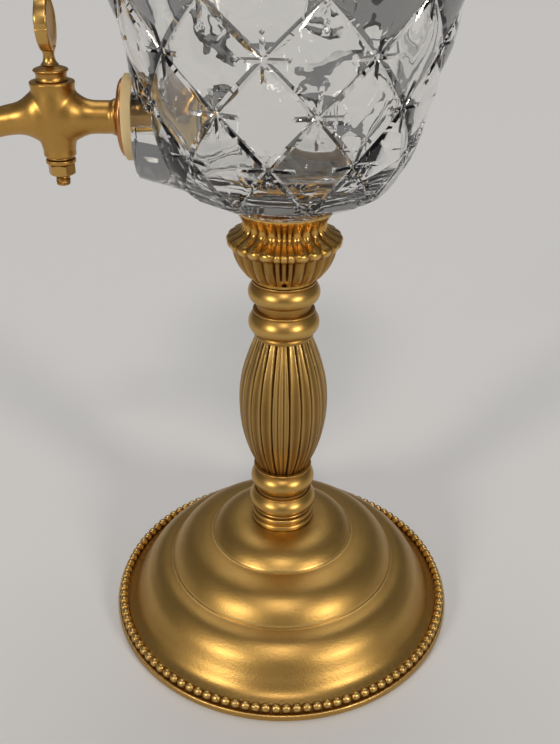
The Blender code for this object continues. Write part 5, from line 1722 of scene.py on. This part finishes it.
    def plug(self) -> bpy.types.Object:
        """Plug: stud with a thread, taper, cap with a rolled ring, and the pin in the handle."""
        low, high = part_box("tap_plug")
        barrel_high = self.tap_z + self.barrel_top
        barrel_low = self.tap_z - self.barrel_bottom
        cap_low = barrel_high + FIT
        cap_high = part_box("tap_handle")[0].z - FIT
        cap, skirt = (through(shared(run, high.y, cap_high - cap_low, cap_low), steps)
                      for run, steps in ((self.cap, 24), (self.cap_skirt, 8)))
        core = np.array([(self.plug_top, cap_low), (self.plug_top, barrel_high),
                         (self.plug_bottom, barrel_low), (self.stud_radius, barrel_low)])
        thread = np.stack([np.full(self.thread_rows, self.stud_radius),
                           np.linspace(barrel_low - FIT, low.z + FIT, self.thread_rows)], axis=1)
        tip = np.array([(self.stud_tip, low.z), (0.0, low.z)])
        pin = np.array([(0.0, high.z), (self.pin_radius, high.z), (self.pin_radius, cap_high)])
        section = joined(pin, cap, skirt, core, thread, tip)
        threaded = slice(-len(thread) - len(tip), -len(tip))

        def helix(r: np.ndarray, z: np.ndarray, a: np.ndarray) -> Grids:
            """Thread: the radius drops by a triangle wave of height over pitch less the turn's share."""
            wave = np.abs(((z / self.thread_pitch - a / FULL_TURN) % 1.0) * 2.0 - 1.0)
            cut = np.zeros_like(r)
            cut[threaded] = wave[threaded]
            # painted shade in the thread's groove
            return r - cut * self.thread_depth, z, cut * self.thread_shade, np.zeros_like(r)

        return turned("tap_plug_skin", section, around=64, loop=False, centre=self.centre,
                      carve=helix, crease=35.0)

    def handle(self) -> bpy.types.Object:
        """Flat key on a round neck."""
        low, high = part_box("tap_handle")
        neck_top = low.z + self.neck_height
        widest = max(share for share, _level in self.plate_upper)
        made = self._plate(high.y / widest, high.x - self.axis_x, neck_top, high.z - neck_top)
        combine(made, self._neck(low.z, neck_top), "UNION")
        soften(made, 40.0)
        return made

    def _plate(self, half_width: float, half_thick: float, bottom: float,
               height: float) -> bpy.types.Object:
        """Key's plate: its outline drawn towards its middle by a share k.

        Its half thickness is the rim's at k near 1, a little less in the dished middle, and rolls
        over at the edge.

        Args:
            half_width: Half of what its outline's shares of the width stand for.
            half_thick: Half its thickness.
            bottom: Height of its lower end.
            height: Its height.

        Returns:
            The plate.
        """
        side = np.vstack([through(shared(run, half_width, height, bottom), steps)
                          for run, steps in ((self.plate_lower, 28), (self.plate_upper, 52))])
        edge = np.vstack([side, (side * (-1.0, 1.0))[-2:0:-1]])
        middle = np.array([0.0, bottom + self.plate_middle * height])
        roll = np.linspace(0.0, math.pi / 2.0, num=6)
        dish, level = np.asarray(self.plate_dish).T
        share = np.concatenate([dish, np.full(len(roll), 1.0)])
        inset = np.concatenate([np.zeros(len(dish)), self.plate_edge * (1.0 - np.sin(roll))])
        thick = np.concatenate([level * half_thick, half_thick - self.plate_edge * (1.0 - np.cos(roll))])
        share, inset, thick = (np.concatenate([half, sign * half[::-1]])[:, None]
                               for half, sign in ((share, 1.0), (inset, 1.0), (thick, -1.0)))
        away = edge - middle
        scale = share * (1.0 - inset / np.linalg.norm(away, axis=1)[None, :])
        x = self.axis_x + np.repeat(thick, len(edge), axis=1)
        points = np.stack([x, middle[0] + away[None, :, 0] * scale, middle[1] + away[None, :, 1] * scale],
                          axis=-1)
        # painted highlight along the plate's rolled rim
        painted_highlight = np.repeat(bell(share, 1.0, self.plate_highlight_width) * self.plate_shine, len(edge), axis=1)
        return skin("tap_handle_skin", points, quads(*x.shape, False), 40.0,
                    {"painted_shade": np.zeros_like(x), "painted_highlight": painted_highlight})

    def _neck(self, low: float, top: float) -> bpy.types.Object:
        """Round waisted neck under the plate, with the blind hole for the pin."""
        line = through(np.asarray(self.neck_line) * MM + (0.0, low), steps=18)
        blind = low + self.pin_depth
        section = np.vstack([[(0.0, top + self.neck_root)], line[::-1],
                             [(self.pin_hole, low), (self.pin_hole, blind), (0.0, blind)]])
        return turned("handle_neck", section, around=48, loop=False, centre=self.centre)

    def spring_washer(self) -> bpy.types.Object:
        """Thin spring washer under the barrel."""
        return self._ring("plug_spring_washer", 0.15 * MM)

    def washer(self) -> bpy.types.Object:
        """Thick washer with rounded edges."""
        return self._ring("plug_washer", 0.35 * MM)

    def _ring(self, node: str, edge: float) -> bpy.types.Object:
        """Flat ring on the plug's stud, with rounded edges."""
        low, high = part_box(node)
        return flat_ring(node, high.y, self.stud_hole, (low.z, high.z), edge, 64, self.centre)

    def plug_nut(self) -> bpy.types.Object:
        """Hexagon nut under the barrel."""
        low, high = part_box("plug_nut")
        return hexagon_nut("plug_nut_skin", high.x - low.x, high.z - low.z, self.stud_hole,
                           (self.axis_x, 0.0, low.z), turn=self.nut_turn)


# The lid
@dataclass
class Lid:
    """Domed lid with a rolled edge, a seal, and a turned finial on a stud."""

    bench: Bench
    wall: float = 1.6 * MM
    skirt: float = 60.2 * MM
    skirt_edge: float = 0.4 * MM
    seal_width: float = 4.4 * MM
    seal_edge: float = 0.4 * MM
    stud_hole: float = 2.3 * MM
    stud_depth: float = 8.3 * MM
    around: int = 180
    run_steps: tuple[int, ...] = (34, 18, 8)
    collar_steps: tuple[int, ...] = (8, 8, 8)
    finial_steps: tuple[int, ...] = (10, 30, 10)
    runs: tuple[Outline, ...] = (
        ((0.150, 1.000), (0.360, 0.937), (0.580, 0.757), (0.740, 0.530), (0.800, 0.385)),
        ((0.800, 0.385), (0.806, 0.350), (0.825, 0.325), (0.880, 0.292), (0.960, 0.222), (0.985, 0.175)),
        ((0.985, 0.175), (1.000, 0.100), (0.998, 0.030), (0.985, 0.000)))
    collar_runs: tuple[Outline, ...] = (
        ((0.620, 1.000), (0.635, 0.900)),
        ((0.635, 0.900), (0.840, 0.790), (0.985, 0.600), (1.000, 0.450), (0.955, 0.290)),
        ((0.955, 0.290), (0.965, 0.180), (1.000, 0.100), (1.000, 0.000)))
    finial_runs: tuple[Outline, ...] = (
        ((0.000, 1.000), (0.090, 0.992), (0.170, 0.950), (0.150, 0.905), (0.130, 0.890)),
        ((0.130, 0.890), (0.420, 0.852), (0.760, 0.745), (0.965, 0.585), (1.000, 0.460), (0.900, 0.325),
         (0.620, 0.205), (0.410, 0.155)),
        ((0.410, 0.155), (0.520, 0.110), (0.565, 0.055), (0.540, 0.000)))

    def build(self) -> None:
        """Build the lid's pieces."""
        self.bench.hand_over_all(((self.dome, "lid_dome", "gold"), (self.seal, "lid_seal", "silicone"),
                                  (self.collar, "lid_collar", "stem_gold"),
                                  (self.finial, "lid_finial", "stem_gold")))
        for node in ("lid_stud", "lid_nut"):
            self.bench.dress(node, "steel")

    def dome(self) -> bpy.types.Object:
        """Dome: smooth runs outside, a wall's thickness inside, and the skirt that centres it."""
        radius, low, high = self.bench.extent("lid_dome")
        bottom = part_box("lid_seal")[1].z + FIT
        outside = smooth_runs(self.runs, self.run_steps, radius, bottom, high)
        inside = inward(outside[::3], self.wall)
        inside = inside[inside[:, 0] < self.skirt - 2.0 * self.wall]
        inside[0, 1] = high - self.wall
        inner, edge = self.skirt - self.wall, self.skirt_edge
        skirt = np.array([(self.skirt, bottom), (self.skirt, low + edge), (self.skirt - edge, low),
                          (inner, low), (inner, inside[-1, 1] - self.wall)])
        section = np.vstack([outside, skirt, inside[::-1],
                             [(self.stud_hole, high - self.wall), (self.stud_hole, high)]])
        return turned("lid_dome_skin", section, self.around, crease=40.0)

    def seal(self) -> bpy.types.Object:
        """Silicone ring between lid and rim."""
        outer, low, high = self.bench.extent("lid_seal")
        return flat_ring("lid_seal", outer, outer - self.seal_width, (low, high), self.seal_edge,
                         self.around)

    def collar(self) -> bpy.types.Object:
        """Collar under the finial."""
        radius, low, high = self.bench.extent("lid_collar")
        outside = smooth_runs(self.collar_runs, self.collar_steps, radius, low, high)
        section = np.vstack([outside, [(self.stud_hole, low), (self.stud_hole, high)]])
        return turned("lid_collar_skin", section, around=96)

    def finial(self) -> bpy.types.Object:
        """Turned finial with a blind hole for the stud."""
        low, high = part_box("lid_finial")
        outside = smooth_runs(self.finial_runs, self.finial_steps, high.y, low.z, high.z)
        blind = low.z + self.stud_depth
        section = np.vstack([outside, [(self.stud_hole, low.z), (self.stud_hole, blind), (0.0, blind)]])
        return turned("lid_finial_skin", section, around=72, loop=False)


# Studio
@dataclass(frozen=True)
class Lamp:
    """One soft lamp, far away: its direction and width in degrees, and its strength square to it."""

    name: str
    azimuth: float
    elevation: float
    width: float
    strength: float
    colour: Colour


@dataclass
class Studio:
    """Pale floor, soft lamps and the photograph's camera."""

    floor_radius: float = 6.0
    floor_corners: int = 64
    floor_colour: Colour = (0.72, 0.72, 0.715)
    floor_roughness: float = 0.75
    floor_specular: float = 0.25
    picture_height: float = 744.0
    focal_pixels: float = 870.0
    camera_place: Place = (-0.0014, -0.309, 0.292)
    camera_pitch: float = 29.47
    camera_roll: float = 0.375
    sensor_width: float = 36.0
    clip_start: float = 0.01
    world: float = 0.15
    lamps: tuple[Lamp, ...] = (
        Lamp("left_lamp", -43.0, 21.0, 12.0, 1.05, (1.0, 0.94, 0.84)),
        Lamp("right_lamp", 43.0, 21.0, 12.0, 1.05, (1.0, 0.94, 0.84)),
        Lamp("front_lamp", 0.0, 50.0, 10.0, 0.55, (1.0, 0.93, 0.90)),
        Lamp("top_lamp", 180.0, 72.0, 40.0, 0.85, (0.98, 0.98, 1.0)))

    def build(self) -> None:
        """Set the floor, the lamps, the world, the camera and the view."""
        self._floor()
        for lamp in self.lamps:
            self._lamp(lamp)
        self._world()
        self._camera()
        bpy.context.scene.view_settings.view_transform = "Standard"

    def _floor(self) -> None:
        """Pale matt disc under the object."""
        angle = np.arange(self.floor_corners) * FULL_TURN / self.floor_corners
        radius = np.full(self.floor_corners, self.floor_radius)
        mesh = bpy.data.meshes.new("floor")
        mesh.from_pydata(around_axis(radius, angle, np.zeros(self.floor_corners)), [],
                         [list(range(self.floor_corners))])
        floor = add_object("floor", mesh)
        recipe = Recipe("floor_paper")
        mesh.materials.append(recipe.surface({"Base Color": self.floor_colour,
                                              "Roughness": self.floor_roughness,
                                              "Specular IOR Level": self.floor_specular}))

    def _lamp(self, lamp: Lamp) -> None:
        """Aim a far lamp at the object."""
        data = bpy.data.lights.new(lamp.name, "SUN")
        data.angle = math.radians(lamp.width)
        data.energy = lamp.strength
        data.color = lamp.colour
        azimuth, elevation = math.radians(lamp.azimuth), math.radians(lamp.elevation)
        away = Vector((math.sin(azimuth) * math.cos(elevation), -math.cos(azimuth) * math.cos(elevation),
                       math.sin(elevation)))
        made = add_object(lamp.name, data)
        made.location = away
        made.rotation_mode = "QUATERNION"
        made.rotation_quaternion = away.to_track_quat("Z", "Y")

    def _world(self) -> None:
        """Even grey surroundings."""
        world = bpy.data.worlds.new("studio")
        world.use_nodes = True
        background = world.node_tree.nodes["Background"]
        background.inputs["Color"].default_value = (1.0, 1.0, 1.0, 1.0)
        background.inputs["Strength"].default_value = self.world
        bpy.context.scene.world = world

    def _camera(self) -> None:
        """Camera at the photograph's place and angle."""
        data = bpy.data.cameras.new("camera")
        data.sensor_width = self.sensor_width
        data.lens = self.focal_pixels * self.sensor_width / self.picture_height
        data.clip_start = self.clip_start
        made = add_object("camera", data)
        made.matrix_world = (Matrix.Translation(self.camera_place)
                             @ Matrix.Rotation(math.radians(90.0 - self.camera_pitch), 4, "X")
                             @ Matrix.Rotation(math.radians(self.camera_roll), 4, "Z"))
        bpy.context.scene.camera = made


def main() -> None:
    """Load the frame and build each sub-assembly in order."""
    logging.basicConfig(level=logging.INFO, format="%(message)s")
    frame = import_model()
    bench = Bench(frame)
    Studio().build()
    for assembly in (SteppedBase(bench), Stem(bench), FlutedCup(bench), CrystalBowl(bench),
                     TapMounting(bench), Tap(bench), Lid(bench)):
        assembly.build()


if __name__ == "__main__":
    main()
